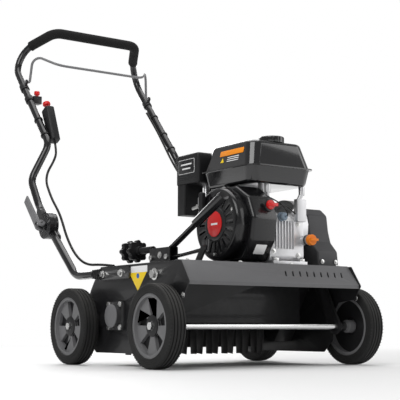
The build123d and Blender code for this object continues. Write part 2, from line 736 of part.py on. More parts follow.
for name, z0, z1, shrink in (
    ("fuel_tank_top", tank_seam_z, tank_top_z, 18.0),
    ("fuel_tank_base", tank_seam_z, tank_base_z, 8.0),
):
    up = 1 if z1 > z0 else -1
    outer_half = tank_half(z0, z1, shrink, 0.0)
    inner_half = tank_half(z0, z1 - up * tank_wall, shrink, -tank_wall)
    with BuildPart() as tank:
        add(outer_half)
        fillet(tank.faces().sort_by(Axis.Z)[-1 if up > 0 else 0].edges(), 12.0)
        add(inner_half, mode=Mode.SUBTRACT)
        with BuildSketch(Plane.XY.offset(z0)) as seam:
            Polygon(
                (tank_x0 - flange_out, tank_y0 - flange_out),
                (tank_x1 + flange_out, tank_y0 - flange_out),
                (tank_x1 + flange_out, tank_y1 + flange_out),
                (tank_x0 - flange_out, tank_y1 + flange_out),
                align=None,
            )
            fillet(seam.vertices(), tank_corner)
            offset(amount=-flange_out - tank_wall, mode=Mode.SUBTRACT)
        extrude(amount=up * flange_half)
        if up > 0:
            cylinder_z(cap_radius - 4.0, tank_top_z - 6, tank_top_z + 5.0, cap_x, cap_y)
            cylinder_z(cap_radius - 7.0, tank_top_z - 12, tank_top_z + 6.0, cap_x, cap_y, mode=Mode.SUBTRACT)
    save(tank.part, name)

cap_lugs = 12
with BuildPart() as cap:
    cylinder_z(cap_radius, tank_top_z + 1.0, tank_top_z + 17.0, cap_x, cap_y)
    fillet(cap.faces().sort_by(Axis.Z)[-1].edges(), 4.0)
    neck_bore = cap_radius - 4.0 + running_fit
    cylinder_z(neck_bore, tank_top_z, tank_top_z + 5.0 + gap, cap_x, cap_y, mode=Mode.SUBTRACT)
    with BuildSketch(Plane.XY.offset(tank_top_z)):
        with Locations((cap_x, cap_y)):
            with PolarLocations(cap_radius + 1.5, cap_lugs):
                Circle(4.0)
    extrude(amount=20.0, mode=Mode.SUBTRACT)
save(cap.part, "fuel_cap")

post_radius = 8.0
post_xs = (52.0, 166.0)
case_top = crank_z + 33.0
with BuildPart() as tank_posts:
    for x in post_xs:
        cylinder_z(post_radius, tank_base_z - 22.0, tank_base_z, x, engine_y - 62.0)
    cylinder_z(5.0, case_top, tank_base_z - 22.0, post_xs[0], engine_y - 62.0)
    cylinder_z(9.0, case_top, case_top + 10.0, 140.0, engine_y - 60.0)
    rod((140.0, engine_y - 60.0, case_top + 7.0), (post_xs[1], engine_y - 62.0, tank_base_z - 18.0), 6.0)
    cylinder_z(post_radius, case_top, tank_base_z, 110.0, engine_y + 40.0)
save(tank_posts.part, "tank_posts")

# ---- air cleaner, carburettor and muffler ----
cleaner_x0 = -20.0
cleaner_x1 = 66.0
cleaner_y0 = tank_y1 + flange_out + 2.0
cleaner_y1 = cleaner_y0 + 110.0
lid_top_z = crank_z + 214.0
lid_low_z = crank_z + 132.0
base_low_z = crank_z + 46.0
with BuildPart() as lid:
    block(cleaner_x0, cleaner_x1, cleaner_y0, cleaner_y1, lid_low_z, lid_top_z)
    fillet(lid.edges().filter_by(Axis.Z), 10.0)
    fillet(lid.faces().sort_by(Axis.Z)[-1].edges(), 7.0)
    offset(amount=-2.0, openings=lid.faces().sort_by(Axis.Z)[0])
save(lid.part, "air_cleaner_lid")
with BuildPart() as cleaner_base:
    block(cleaner_x0 + 3, cleaner_x1 - 3, cleaner_y0 + 3, cleaner_y1 - 3, lid_low_z - 1.5, lid_low_z + 12)
    block(cleaner_x0 + 3, cleaner_x1 - 20, cleaner_y1 - 42, cleaner_y1 - 3, base_low_z, lid_low_z - 1.5)
    fillet(cleaner_base.edges().filter_by(Axis.Z), 5.0)
save(cleaner_base.part, "air_cleaner_base")
carb_x = 14.0
carb_y = tank_y1 + 10.0
carb_z = crank_z + 78.0
with BuildPart() as carburettor:
    block(carb_x - 17, carb_x + 17, carb_y - 14, carb_y + 24, carb_z - 18, carb_z + 14)
    fillet(carburettor.edges(), 3.0)
    cylinder_z(16.0, carb_z - 44.0, carb_z - 18.0, carb_x, carb_y + 2)
    cylinder_z(6.0, carb_z + 14.0, lid_low_z - 1.5, carb_x + 4, carb_y + 14.0)
    cylinder_x(13.0, carb_x + 17.0, 46.0, carb_y + 2, carb_z)
save(carburettor.part, "carburettor")
lever_face_x = carb_x - 17.0 - gap
with BuildPart() as choke_lever:
    strap_x(carb_y + 2, carb_z + 2, carb_y - 12, carb_z - 30, 4.0, lever_face_x - 3.0, lever_face_x)
    cylinder_x(6.0, lever_face_x - 5.0, lever_face_x, carb_y + 2, carb_z + 2)
save(choke_lever.part, "choke_lever")
with BuildPart() as fuel_lever:
    lever_x0 = lever_face_x - 7.0
    strap_x(carb_y + 16, carb_z - 12, carb_y + 44, carb_z - 16, 4.0, lever_x0 + 4.0, lever_face_x)
    cylinder_x(5.5, lever_x0, lever_face_x, carb_y + 16, carb_z - 12)
save(fuel_lever.part, "fuel_valve_lever")

muffler_x0 = cleaner_x1 + 10.0
muffler_x1 = 190.0
muffler_low_z = crank_z + 110.0
muffler_top_z = crank_z + 202.0
muffler_y0 = cleaner_y0 + 2.0
muffler_y1 = cleaner_y1 - 10.0
muffler_wall = 2.5
with BuildPart() as muffler:
    block(muffler_x0, muffler_x1, muffler_y0, muffler_y1, muffler_low_z, muffler_top_z)
    fillet(muffler.edges().filter_by(Axis.X), 22.0)
    fillet(muffler.faces().sort_by(Axis.X)[-1].edges(), 5.0)
    fillet(muffler.faces().sort_by(Axis.X)[0].edges(), 5.0)
    room_x = (muffler_x0 + muffler_wall, muffler_x1 - muffler_wall)
    room_y = (muffler_y0 + 9.0, muffler_y1 - 9.0)
    block(*room_x, *room_y, muffler_low_z + 9.0, muffler_top_z - 9.0, mode=Mode.SUBTRACT)
    cylinder_x(11.0, muffler_x1 - 2, muffler_x1 + 12, muffler_y1 - 24, muffler_top_z - 24)
    block(100, 130, muffler_y0 + 18, muffler_y0 + 44, muffler_low_z - 34, muffler_low_z + 4)
save(muffler.part, "muffler")

# ---- dipstick and engine switch ----
dipstick_x = 152.0
dipstick_z = crank_z - 38.0
dipstick_y = case_front - 22.0
with BuildPart() as dipstick:
    cylinder_y(14.0, dipstick_y - 14.0, dipstick_y - gap, dipstick_x, dipstick_z)
    fillet(dipstick.edges(), 2.5)
    block(dipstick_x - 12, dipstick_x + 12, dipstick_y - 22, dipstick_y - 13, dipstick_z - 3, dipstick_z + 3)
save(dipstick.part, "oil_dipstick")

switch_x = 21.0
switch_z = crank_z + 45.0
switch_y = engine_y - 109.0
with BuildPart() as engine_switch:
    cylinder_y(12.0, switch_y - 9.0, switch_y - gap, switch_x, switch_z)
    fillet(engine_switch.edges(), 2.0)
    block(switch_x - 15, switch_x + 15, switch_y - 18, switch_y - 8, switch_z - 4, switch_z + 4)
save(engine_switch.part, "engine_switch")

# ---- lower handle: a flattened, bolted end and a tube up to the fold joint ----
tube_bore = handle_tube - handle_wall
flat_half = 15.0
flat_thickness = 7.0
washer_radius = 10.0
lower_bend_y = rear_axle_y + 30.0
lower_start_y = handle_bolts_y[1] + 24.0
disc_face = 0.35                       # half the gap between the two discs of a fold joint
disc_thickness = 12.5
disc_mid_x = lower_tube_x
upper_lean = (30.0, 31.0)              # first run above the fold joint, back and up


def disc(side, inner):
    # one of the two clamped discs, inside or outside the tubes' middle plane
    near = side * (disc_mid_x - disc_face)
    far = side * (disc_mid_x - disc_face - disc_thickness)
    if not inner:
        near = side * (disc_mid_x + disc_face)
        far = side * (disc_mid_x + disc_face + disc_thickness)
    cylinder_x(fold_disc_radius, near, far, fold_y, fold_z)
    return near, far


cam_x = disc_mid_x + disc_face + disc_thickness + 14.0
cam_radius = 11.0
cam_half = 12.0
cam_slot_half = 5.8
cam_pin_radius = 3.0
cam_reach = 118.0
lever_dir = Vector(0, 1, 1).normalized()
pin_dir = Vector(0, -1, 1).normalized()


def pin_bar(side, radius, half, mode=Mode.ADD):
    middle = Vector(side * cam_x, fold_y, fold_z)
    rod(tuple(middle - pin_dir * half), tuple(middle + pin_dir * half), radius, mode=mode)


lower_run = hypot(fold_y - lower_bend_y, fold_z - handle_bolt_z)
lower_end = 1 - (fold_disc_radius + 3.0) / lower_run
lower_end_y = lower_bend_y + (fold_y - lower_bend_y) * lower_end
lower_end_z = handle_bolt_z + (fold_z - handle_bolt_z) * lower_end
neck_end = 1 - (fold_disc_radius + 18.0) / lower_run
neck_y = lower_bend_y + (fold_y - lower_bend_y) * neck_end
neck_z = handle_bolt_z + (fold_z - handle_bolt_z) * neck_end
fold_bolt_radius = 5.0
with BuildPart() as lower_handles:
    for side in sides.values():
        x = side * lower_tube_x
        start = (x, lower_start_y, handle_bolt_z)
        bend = (x, lower_bend_y, handle_bolt_z)
        end = (x, lower_end_y, lower_end_z)
        add(bent_tube([start, bend, end], 70.0, handle_tube, tube_bore))
        flat = (side * plate_x, side * (plate_x + flat_thickness))
        flat_y = (handle_bolts_y[0] - 38.0, handle_bolts_y[1] + washer_radius + 2.0)
        block(*flat, *flat_y, handle_bolt_z - flat_half, handle_bolt_z + flat_half)
        for index in range(4):
            share = (index + 0.5) / 4
            half = flat_half + (handle_tube - flat_half) * share
            step_y = flat_y[1] + (lower_start_y - flat_y[1]) * index / 4
            tube_edge = lower_tube_offset + handle_tube
            far = side * (plate_x + flat_thickness + share * (tube_edge - flat_thickness))
            near = side * (plate_x + share * (lower_tube_offset - handle_tube))
            step_end = step_y + (lower_start_y - flat_y[1]) / 4 + 1.0
            block(near, far, step_y - 0.5, step_end, handle_bolt_z - half, handle_bolt_z + half)
        near, far = disc(side, inner=True)
        strap_x(neck_y, neck_z, fold_y, fold_z, handle_tube, near, far)
        cylinder_x(fold_bolt_radius, near, side * (cam_x + 2.0), fold_y, fold_z)
        pin_bar(side, cam_pin_radius, cam_half + 1.5)
        for y in handle_bolts_y:
            bolt_room = (side * (plate_x - 1), side * (plate_x + flat_thickness + 1))
            cylinder_x(bolt_radius, *bolt_room, y, handle_bolt_z, mode=Mode.SUBTRACT)
save(lower_handles.part, "lower_handles")

# ---- upper handle: one bent tube from side to side ----
kink_y = fold_y + 125.0
kink_low = (fold_y + 122.0, fold_z + 146.0)
kink_high_z = fold_z + 258.6
shoulder_point = (mid_y + 819.9, 971.9)
bar_half = 148.4
bar_point = (mid_y + 662.2, 1029.1)
upper_start = [fold_y + upper_lean[0], fold_z + upper_lean[1]]


def upper_points(side):
    # one side of the handle, from the fold joint to the middle of the crossbar
    return [
        (side * lower_tube_x, *upper_start),
        (side * lower_tube_x, fold_y + 66.0, fold_z + 66.0),
        (side * lower_tube_x, *kink_low),
        (side * handle_half_width, kink_y, kink_high_z),
        (side * handle_half_width, *shoulder_point),
        (side * bar_half, *bar_point),
    ]


upper_path = upper_points(-1) + upper_points(1)[::-1]
upper_bends = [60.0, 60.0, 60.0, 70.0, 40.0]
with BuildPart() as upper_handle:
    add(bent_tube(upper_path, upper_bends + upper_bends[::-1], handle_tube, tube_bore))
    for side in sides.values():
        near, far = disc(side, inner=False)
        neck = (fold_y + upper_lean[0] * 1.4, fold_z + upper_lean[1] * 1.4)
        strap_x(fold_y, fold_z, *neck, handle_tube, near, far)
        bolt_x = (side * (disc_mid_x - 20), side * (disc_mid_x + 40))
        cylinder_x(fold_bolt_radius + running_fit, *bolt_x, fold_y, fold_z, mode=Mode.SUBTRACT)
save(upper_handle.part, "upper_handle")

grip_start = 100.0
bar_corner = (-bar_half, *bar_point)
shoulder_corner = (-handle_half_width, *shoulder_point)
kink_corner = (-handle_half_width, kink_y, kink_high_z)
grip_path = [along(shoulder_corner, kink_corner, 120.0), shoulder_corner, bar_corner]
grip_path += [(-x, y, z) for x, y, z in grip_path[::-1]]
run = Vector(*bar_corner) - Vector(*shoulder_corner)
with BuildPart() as foam_grip:
    grip_bends = upper_bends[-2:] + upper_bends[-2:][::-1]
    add(bent_tube(grip_path, grip_bends, grip_radius, handle_tube))
    for side in sides.values():
        cut = along(bar_corner, shoulder_corner, grip_start)
        normal = (-side * run.X, run.Y, run.Z)
        split(bisect_by=Plane(origin=(-side * cut[0], cut[1], cut[2]), z_dir=normal), keep=Keep.TOP)
save(foam_grip.part, "foam_grip")

# ---- quick-release levers on the fold joints ----
for name, side in sides.items():
    lever_plane = Plane(
        origin=Vector(side * cam_x, fold_y, fold_z), x_dir=lever_dir, z_dir=pin_dir
    )
    with BuildPart() as cam_lever:
        pin_bar(side, cam_radius, cam_half)
        with BuildSketch(lever_plane.offset(-cam_half)) as blade_profile:
            outward = side if lever_plane.y_dir.X > 0 else -side
            Polygon(
                (0, outward * 3.0),
                (cam_reach, outward * 4.0),
                (cam_reach, outward * 8.5),
                (0, outward * cam_radius),
                align=None,
            )
        extrude(blade_profile.sketch, amount=2 * cam_half)
        fillet(cam_lever.edges().sort_by(Axis.Z)[-4:], 2.0)
        pin_bar(side, cam_radius + 4.0, cam_slot_half, mode=Mode.SUBTRACT)
        pin_bar(side, cam_pin_radius + running_fit, cam_half + 5, mode=Mode.SUBTRACT)
    save(cam_lever.part, f"fold_lever_{name}")

# ---- bail: a bent rod that is squeezed to drive the rotor ----
bail_pivot_y = mid_y + 699.0
bail_pivot_z = 866.0
bail_path = [
    (-bar_half - 83.0, bail_pivot_y, bail_pivot_z),
    (-bar_half - 67.0, bail_pivot_y, bail_pivot_z),
    (-bar_half - 60.0, mid_y + 691.7, 954.6),
    (-bar_half - 3.5, mid_y + 622.6, 914.4),
]
bail_path += [(-x, y, z) for x, y, z in bail_path[::-1]]
bail_bends = [6.0, 25.0, 50.0, 50.0, 25.0, 6.0]
with BuildPart() as bail:
    add(bent_tube(bail_path, bail_bends, control_rod))
save(bail.part, "bail")


def tube_line(y):
    # height of the straight side tube's middle at y
    rise = (shoulder_point[1] - kink_high_z) / (shoulder_point[0] - kink_y)
    return kink_high_z + (y - kink_y) * rise


tube_dir = Vector(0, shoulder_point[0] - kink_y, shoulder_point[1] - kink_high_z).normalized()
ear_x = bar_half + 76.0
ear_thickness = 4.0
clamp_wall = 3.0
clamp_half = 11.0
stop_body_y = mid_y + 672.0
box_dir = Vector(0, 0.431, 0.902).normalized()
box_x = -(handle_half_width - handle_tube - 16.0)
box_origin = Vector(box_x, mid_y + 574.0, 712.0)
box_half = 59.0
box_depth = 40.0
box_width = 30.0

stop_button_x = -handle_half_width + 23.0
stop_top_z = tube_line(stop_body_y) + 12.0
stop_stem = 5.0

# ---- brackets on the upper handle ----
with BuildPart() as brackets:
    for side in sides.values():
        clamp_y = bail_pivot_y + 12.0
        middle = Vector(side * handle_half_width, clamp_y, tube_line(clamp_y))
        ends = (tuple(middle - tube_dir * clamp_half), tuple(middle + tube_dir * clamp_half))
        rod(*ends, handle_tube + clamp_wall)
        x_pair = (side * ear_x, side * (ear_x + ear_thickness))
        strap_x(middle.Y, middle.Z, bail_pivot_y, bail_pivot_z, 8.0, *x_pair)
        rod(*ends, handle_tube, mode=Mode.SUBTRACT)
        pin_x = (side * (ear_x - 5), side * (ear_x + 12))
        pin_bore = control_rod + running_fit
        cylinder_x(pin_bore, *pin_x, bail_pivot_y, bail_pivot_z, mode=Mode.SUBTRACT)
    middle = Vector(-handle_half_width, stop_body_y, tube_line(stop_body_y))
    ends = (tuple(middle - tube_dir * 9), tuple(middle + tube_dir * 9))
    rod(*ends, handle_tube + clamp_wall)
    stop_x = (-handle_half_width + 8.0, -handle_half_width + 34.0)
    block(*stop_x, stop_body_y - 16, stop_body_y + 10, middle.Z - 12, middle.Z + 12)
    rod(tuple(middle - tube_dir * 40), tuple(middle + tube_dir * 40), handle_tube, mode=Mode.SUBTRACT)
    well = (stop_top_z - 9.0, stop_top_z + 1.0, stop_button_x, stop_body_y - 3.0)
    cylinder_z(stop_stem + gap, *well, mode=Mode.SUBTRACT)
save(brackets.part, "handle_brackets")

with BuildPart() as stop_button:
    cylinder_z(9.0, stop_top_z + 5.0, stop_top_z + 18.0, stop_button_x, stop_body_y - 3.0)
    fillet(stop_button.edges(), 3.0)
    cylinder_z(stop_stem, stop_top_z - 3.0, stop_top_z + 6.0, stop_button_x, stop_body_y - 3.0)
save(stop_button.part, "stop_button")

with BuildPart() as control_box:
    box_plane = Plane(origin=box_origin, x_dir=(1, 0, 0), z_dir=box_dir)
    with BuildSketch(box_plane.offset(-box_half)) as box_foot:
        Rectangle(box_width, box_depth - 8)
        fillet(box_foot.vertices(), 9.0)
    with BuildSketch(box_plane.offset(box_half)) as box_head:
        Rectangle(box_width, box_depth)
        fillet(box_head.vertices(), 9.0)
    loft()
    fillet(control_box.faces().sort_by(Axis.Z)[-1].edges(), 4.0)
save(control_box.part, "control_box")

with BuildPart() as throttle_knob:
    top = box_origin + box_dir * (box_half + gap)
    rod(tuple(top), tuple(top + box_dir * 16), 4.0)
    rod(tuple(top + box_dir * 12), tuple(top + box_dir * 24), 12.0)
    fillet(throttle_knob.edges().filter_by(GeomType.CIRCLE).sort_by(SortBy.RADIUS)[-2:], 4.0)
save(throttle_knob.part, "throttle_knob")

# ---- control cables, clipped inside the handle tubes ----
cable_radius = 3.5
cable_x = plate_x - 6.0


def cable_bends(points):
    # the largest arc that each corner's two runs allow
    radii = []
    for before, corner, after in zip(points, points[1:], points[2:]):
        first = Vector(*corner) - Vector(*before)
        second = Vector(*after) - Vector(*corner)
        half_turn = radians(first.get_angle(second)) / 2
        radii.append(0.45 * min(first.length, second.length) / (sin(half_turn) / cos(half_turn)))
    return radii


def cable(points):
    return bent_tube(points, cable_bends(points), cable_radius)


upper_tail = [
    (handle_half_width - 12.0, mid_y + 508.0, 600.0),
    (cable_x - 4.0, mid_y + 494.0, 536.0),
    (cable_x, mid_y + 440.0, 470.0),
    (cable_x, mid_y + 396.0, 430.0),
]
left_tail = [(-x, y, z) for x, y, z in upper_tail]
cable_gap = 1.5
throttle_cable = [
    tuple(box_origin - box_dir * (box_half + cable_gap)),
    (box_x - 4.0, mid_y + 530.0, 632.0),
    *left_tail,
]
inner_x = handle_half_width - handle_tube - cable_radius - 3.0
drive_cable = [
    (inner_x, mid_y + 684.0, tube_line(mid_y + 684.0) - 3.0),
    (inner_x + 1.0, mid_y + 636.0, tube_line(mid_y + 636.0)),
    (inner_x + 1.0, mid_y + 586.0, tube_line(mid_y + 586.0) - 3.0),
    (inner_x, mid_y + 546.0, tube_line(mid_y + 546.0) - 8.0),
    *upper_tail,
]
with BuildPart() as cable_upper:
    add(cable(throttle_cable))
    add(cable(drive_cable))
save(cable_upper.part, "control_cables_upper")

lower_route = [
    (cable_x, mid_y + 352.0, 370.0),
    (cable_x, mid_y + 324.0, 331.0),
    (cable_x - 1.0, mid_y + 284.0, 292.0),
    (cable_x - 2.0, mid_y + 222.0, 264.0),
    (cable_x - 12.0, mid_y + 156.0, 263.0),
    (cable_x - 20.0, mid_y + 106.0, deck_height + 4.0),
]
with BuildPart() as cable_lower:
    add(cable(lower_route))
    add(cable([(-x, y, z) for x, y, z in lower_route]))
save(cable_lower.part, "control_cables_lower")

# ---- depth control and lift lever on the deck ----
bracket_y = (mid_y - 40.0, mid_y + 57.0)
bracket_half = 13.0
bracket_top = deck_height + 49.0
bracket_wall = 3.0
lever_pivot_y = mid_y + 6.0
lever_pivot_z = deck_height + 30.0
lever_end = (mid_y - 262.0, deck_height + 160.0)
lever_tube = 8.0
lever_grip_radius = 12.5
depth_z = deck_height + 38.0
screw_radius = 9.0
with BuildPart() as lift_bracket:
    block(lever_x - bracket_half, lever_x + bracket_half, *bracket_y, deck_height, bracket_top)
    room = bracket_half - bracket_wall
    room_y = (bracket_y[0] - 1.0, bracket_y[1] - bracket_wall)
    room_z = (deck_height - 1, bracket_top - bracket_wall)
    block(lever_x - room, lever_x + room, *room_y, *room_z, mode=Mode.SUBTRACT)
    slot_y = (bracket_y[0] - 1.0, lever_pivot_y + 20.0)
    slot_half = lever_tube + 1.0
    slot_z = (deck_height + 20, bracket_top + 1)
    block(lever_x - slot_half, lever_x + slot_half, *slot_y, *slot_z, mode=Mode.SUBTRACT)
    cylinder_x(bolt_radius, lever_x - bracket_half, lever_x + bracket_half, lever_pivot_y, lever_pivot_z)
save(lift_bracket.part, "lift_bracket")

lever_length = hypot(lever_end[0] - lever_pivot_y, lever_end[1] - lever_pivot_z)
lever_start = (lever_x, lever_pivot_y, lever_pivot_z)
lever_tip = (lever_x, *lever_end)
with BuildPart() as lift_lever:
    rod(lever_start, along(lever_start, lever_tip, lever_length * 0.55), lever_tube)
    cylinder_x(lever_tube, lever_x - lever_tube, lever_x + lever_tube, lever_pivot_y, lever_pivot_z)
    bore_x = (lever_x - bracket_half, lever_x + bracket_half)
    cylinder_x(bolt_radius + running_fit, *bore_x, lever_pivot_y, lever_pivot_z, mode=Mode.SUBTRACT)
    rod(along(lever_start, lever_tip, lever_length * 0.55), lever_tip, lever_grip_radius)
save(lift_lever.part, "lift_lever")

knob_radius = 30.5
knob_lobes = 8
knob_width = 15.0
knob_y0 = bracket_y[1] + 92.0
with BuildPart() as depth_knob:
    cylinder_y(screw_radius, bracket_y[1] + gap, knob_y0, lever_x, depth_z + 10)
    cylinder_y(13.0, knob_y0 - 30.0, knob_y0 + 40.0, lever_x, depth_z + 10)
    for y in (knob_y0 - 16.0, knob_y0 + 22.0):
        with BuildSketch(place_y(lever_x, y + knob_width, depth_z + 10)) as lobes:
            Circle(knob_radius - 5.0)
            with PolarLocations(knob_radius - 7.0, knob_lobes):
                Circle(7.0)
        extrude(lobes.sketch, amount=knob_width)
save(depth_knob.part, "depth_knob")

rod_radius = 5.0
rod_back = (lever_x, bracket_y[0] + 10.0, lever_pivot_z - 8.0)
rod_front = (lever_x, crank_eye[0] + 12.0, crank_eye[1] - 1.0)
eye_x0 = crank_arm_x + gap
with BuildPart() as link_rod:
    rod(rod_back, rod_front, rod_radius)
    eye_x = (eye_x0, eye_x0 + 4.5)
    slot_top = crank_eye[1] + 18.0
    slot_low = crank_eye[1] - 2.0
    slab_x(strap_outline(crank_eye[0], slot_low - 4, crank_eye[0], slot_top + 4, 12.0), *eye_x)
    slot_points = strap_outline(crank_eye[0], slot_low - 4, crank_eye[0], slot_top + 3, 6.0)
    slab_x(slot_points, eye_x0 - 1, eye_x0 + 12, mode=Mode.SUBTRACT)
save(link_rod.part, "link_rod")

# ---- rear flap on its rod ----
flap_y = deck_back_y - 5.0
flap_z = deck_back_z - 13.0
flap_rod = 3.0
flap_low = skirt_height + 10.0
flap_half = plate_inner_x - 2.0
with BuildPart() as rear_flap:
    cylinder_x(7.0, -flap_half, flap_half, flap_y, flap_z)
    block(-flap_half, flap_half, flap_y - 1.5, flap_y + 1.5, flap_low, flap_z)
    cylinder_x(flap_rod + running_fit, -plate_x, plate_x, flap_y, flap_z, mode=Mode.SUBTRACT)
save(rear_flap.part, "rear_flap")

# ---- fasteners fixed to the body ----
with BuildPart() as fasteners:
    cylinder_x(flap_rod, -plate_inner_x, plate_inner_x, flap_y, flap_z)
    for side in sides.values():
        pin_x = (side * (yoke_arm_x - 4.0), side * (plate_x + 3.0))
        cylinder_x(pivot_bolt_radius, *pin_x, pivot_y, pivot_z)
        cylinder_x(15.0, side * plate_x, side * (plate_x + 2.0), pivot_y, pivot_z)
        nut_x(19.0, side * (plate_x + 2.0), side * (plate_x + 10.0), pivot_y, pivot_z)
        flat_face = plate_x + flat_thickness
        for y in handle_bolts_y:
            cylinder_x(bolt_radius, side * (plate_inner_x - 8), side * flat_face, y, handle_bolt_z)
            cylinder_x(washer_radius, side * flat_face, side * (flat_face + 1.6), y, handle_bolt_z)
            nut_x(13.0, side * (flat_face + 1.6), side * (flat_face + 7.0), y, handle_bolt_z)
        flange_face = plate_x + flange_thickness
        for turn in bearing_bolt_angles:
            bolt_y = rotor_y + bearing_bolt_circle * cos(radians(turn))
            bolt_z = rotor_z + bearing_bolt_circle * sin(radians(turn))
            cylinder_x(bolt_radius, side * (plate_inner_x - 3), side * flange_face, bolt_y, bolt_z)
            nut_x(13.0, side * flange_face, side * (flange_face + 6.0), bolt_y, bolt_z)
    for y in (bracket_y[0] + 12.5, bracket_y[1] - 10.0):
        head_x = lever_x - bracket_half
        cylinder_x(7.0, head_x - 5.0, head_x, y, deck_height + 24.0)
    for x in (shroud_x1 + 14.0, case_x1 - 12.0):
        for y in (case_front - foot_out / 2, case_back + foot_out / 2):
            nut_z(13.0, deck_height + foot_height, deck_height + foot_height + 7.0, x, y)
save(fasteners.part, "fasteners")
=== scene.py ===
import json
import math
import bmesh
import bpy
from mathutils import Euler, Matrix, Vector


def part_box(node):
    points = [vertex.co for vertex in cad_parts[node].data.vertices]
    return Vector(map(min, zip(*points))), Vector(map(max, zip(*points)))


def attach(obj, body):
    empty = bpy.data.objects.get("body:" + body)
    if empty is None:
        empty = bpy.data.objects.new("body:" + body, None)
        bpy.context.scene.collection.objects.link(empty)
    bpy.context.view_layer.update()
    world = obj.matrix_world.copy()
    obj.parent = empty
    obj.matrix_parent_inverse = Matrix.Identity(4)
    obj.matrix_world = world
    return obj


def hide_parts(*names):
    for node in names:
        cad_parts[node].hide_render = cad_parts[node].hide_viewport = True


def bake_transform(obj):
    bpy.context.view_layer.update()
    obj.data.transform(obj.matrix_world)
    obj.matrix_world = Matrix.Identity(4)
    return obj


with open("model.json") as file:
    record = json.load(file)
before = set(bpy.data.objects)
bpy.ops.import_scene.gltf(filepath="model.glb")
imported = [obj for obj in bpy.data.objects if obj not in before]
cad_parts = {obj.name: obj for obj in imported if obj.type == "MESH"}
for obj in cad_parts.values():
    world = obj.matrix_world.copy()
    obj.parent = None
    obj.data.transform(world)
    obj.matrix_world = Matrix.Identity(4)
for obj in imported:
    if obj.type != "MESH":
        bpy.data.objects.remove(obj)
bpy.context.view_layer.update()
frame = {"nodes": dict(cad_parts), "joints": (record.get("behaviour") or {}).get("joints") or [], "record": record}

print("stage: camera and lights")
cameraSettings = {
    "place": (-1.6285, -2.56, 0.0949),
    "turn": (96.88, 0.0, -34.38),
    "lens": 95.6,
}
cameraData = bpy.data.cameras.new("camera")
cameraData.lens = cameraSettings["lens"]
cameraData.sensor_width = 36.0
camera = bpy.data.objects.new("camera", cameraData)
camera.location = cameraSettings["place"]
camera.rotation_euler = [math.radians(a) for a in cameraSettings["turn"]]
bpy.context.scene.collection.objects.link(camera)
bpy.context.scene.camera = camera
bpy.context.scene.view_settings.view_transform = "Standard"


def areaLight(name, place, target, size, power):
    data = bpy.data.lights.new(name, "AREA")
    data.size = size
    data.energy = power
    light = bpy.data.objects.new(name, data)
    light.location = place
    aim = Vector(target) - Vector(place)
    light.rotation_euler = aim.to_track_quat("-Z", "Y").to_euler()
    bpy.context.scene.collection.objects.link(light)


areaLight("keyLight", (-2.4, -1.6, 2.6), (0, 0, 0.4), 2.2, 62)
areaLight("fillLight", (2.6, -2.2, 1.4), (0, 0, 0.4), 2.4, 30)
areaLight("topLight", (0.2, 0.4, 3.2), (0, 0, 0.3), 2.6, 48)
areaLight("backLight", (1.2, 2.8, 1.6), (0, 0, 0.5), 1.8, 34)
world = bpy.data.worlds.new("studio")
world.use_nodes = True
worldTree = world.node_tree   # the camera sees a white backdrop that lights the object only softly
softSky = worldTree.nodes["Background"]
softSky.inputs["Color"].default_value = (1, 1, 1, 1)
softSky.inputs["Strength"].default_value = 0.34
backdrop = worldTree.nodes.new("ShaderNodeBackground")
backdrop.inputs["Color"].default_value = (1, 1, 1, 1)
seen = worldTree.nodes.new("ShaderNodeLightPath")
skyMix = worldTree.nodes.new("ShaderNodeMixShader")
worldTree.links.new(seen.outputs["Is Camera Ray"], skyMix.inputs[0])
worldTree.links.new(softSky.outputs[0], skyMix.inputs[1])
worldTree.links.new(backdrop.outputs[0], skyMix.inputs[2])
worldTree.links.new(skyMix.outputs[0], worldTree.nodes["World Output"].inputs["Surface"])
bpy.context.scene.world = world

# ---- shader groups ----
print("stage: materials")


def groupSockets(tree, inputs, outputs):
    for kind, name, value in inputs:
        made = tree.interface.new_socket(name, in_out="INPUT", socket_type=kind)
        made.default_value = value
    for kind, name in outputs:
        tree.interface.new_socket(name, in_out="OUTPUT", socket_type=kind)
    return tree.nodes.new("NodeGroupInput"), tree.nodes.new("NodeGroupOutput")


def mathNode(tree, operation, first, second):
    node = tree.nodes.new("ShaderNodeMath")
    node.operation = operation
    node.use_clamp = True
    for socket, value in zip(node.inputs, (first, second)):
        if isinstance(value, (int, float)):
            socket.default_value = value
        else:
            tree.links.new(value, socket)
    return node.outputs[0]


def mixColours(tree, factor, first, second):
    node = tree.nodes.new("ShaderNodeMix")
    node.data_type = "RGBA"
    tree.links.new(factor, node.inputs["Factor"])
    colourInputs = [s for s in node.inputs if s.type == "RGBA"]
    tree.links.new(first, colourInputs[0])
    tree.links.new(second, colourInputs[1])
    return [s for s in node.outputs if s.type == "RGBA"][0]


def noiseNode(tree, scale, detail, vector):
    node = tree.nodes.new("ShaderNodeTexNoise")
    node.inputs["Detail"].default_value = detail
    if isinstance(scale, (int, float)):
        node.inputs["Scale"].default_value = scale
    else:
        tree.links.new(scale, node.inputs["Scale"])
    tree.links.new(vector, node.inputs["Vector"])
    return node.outputs[0]


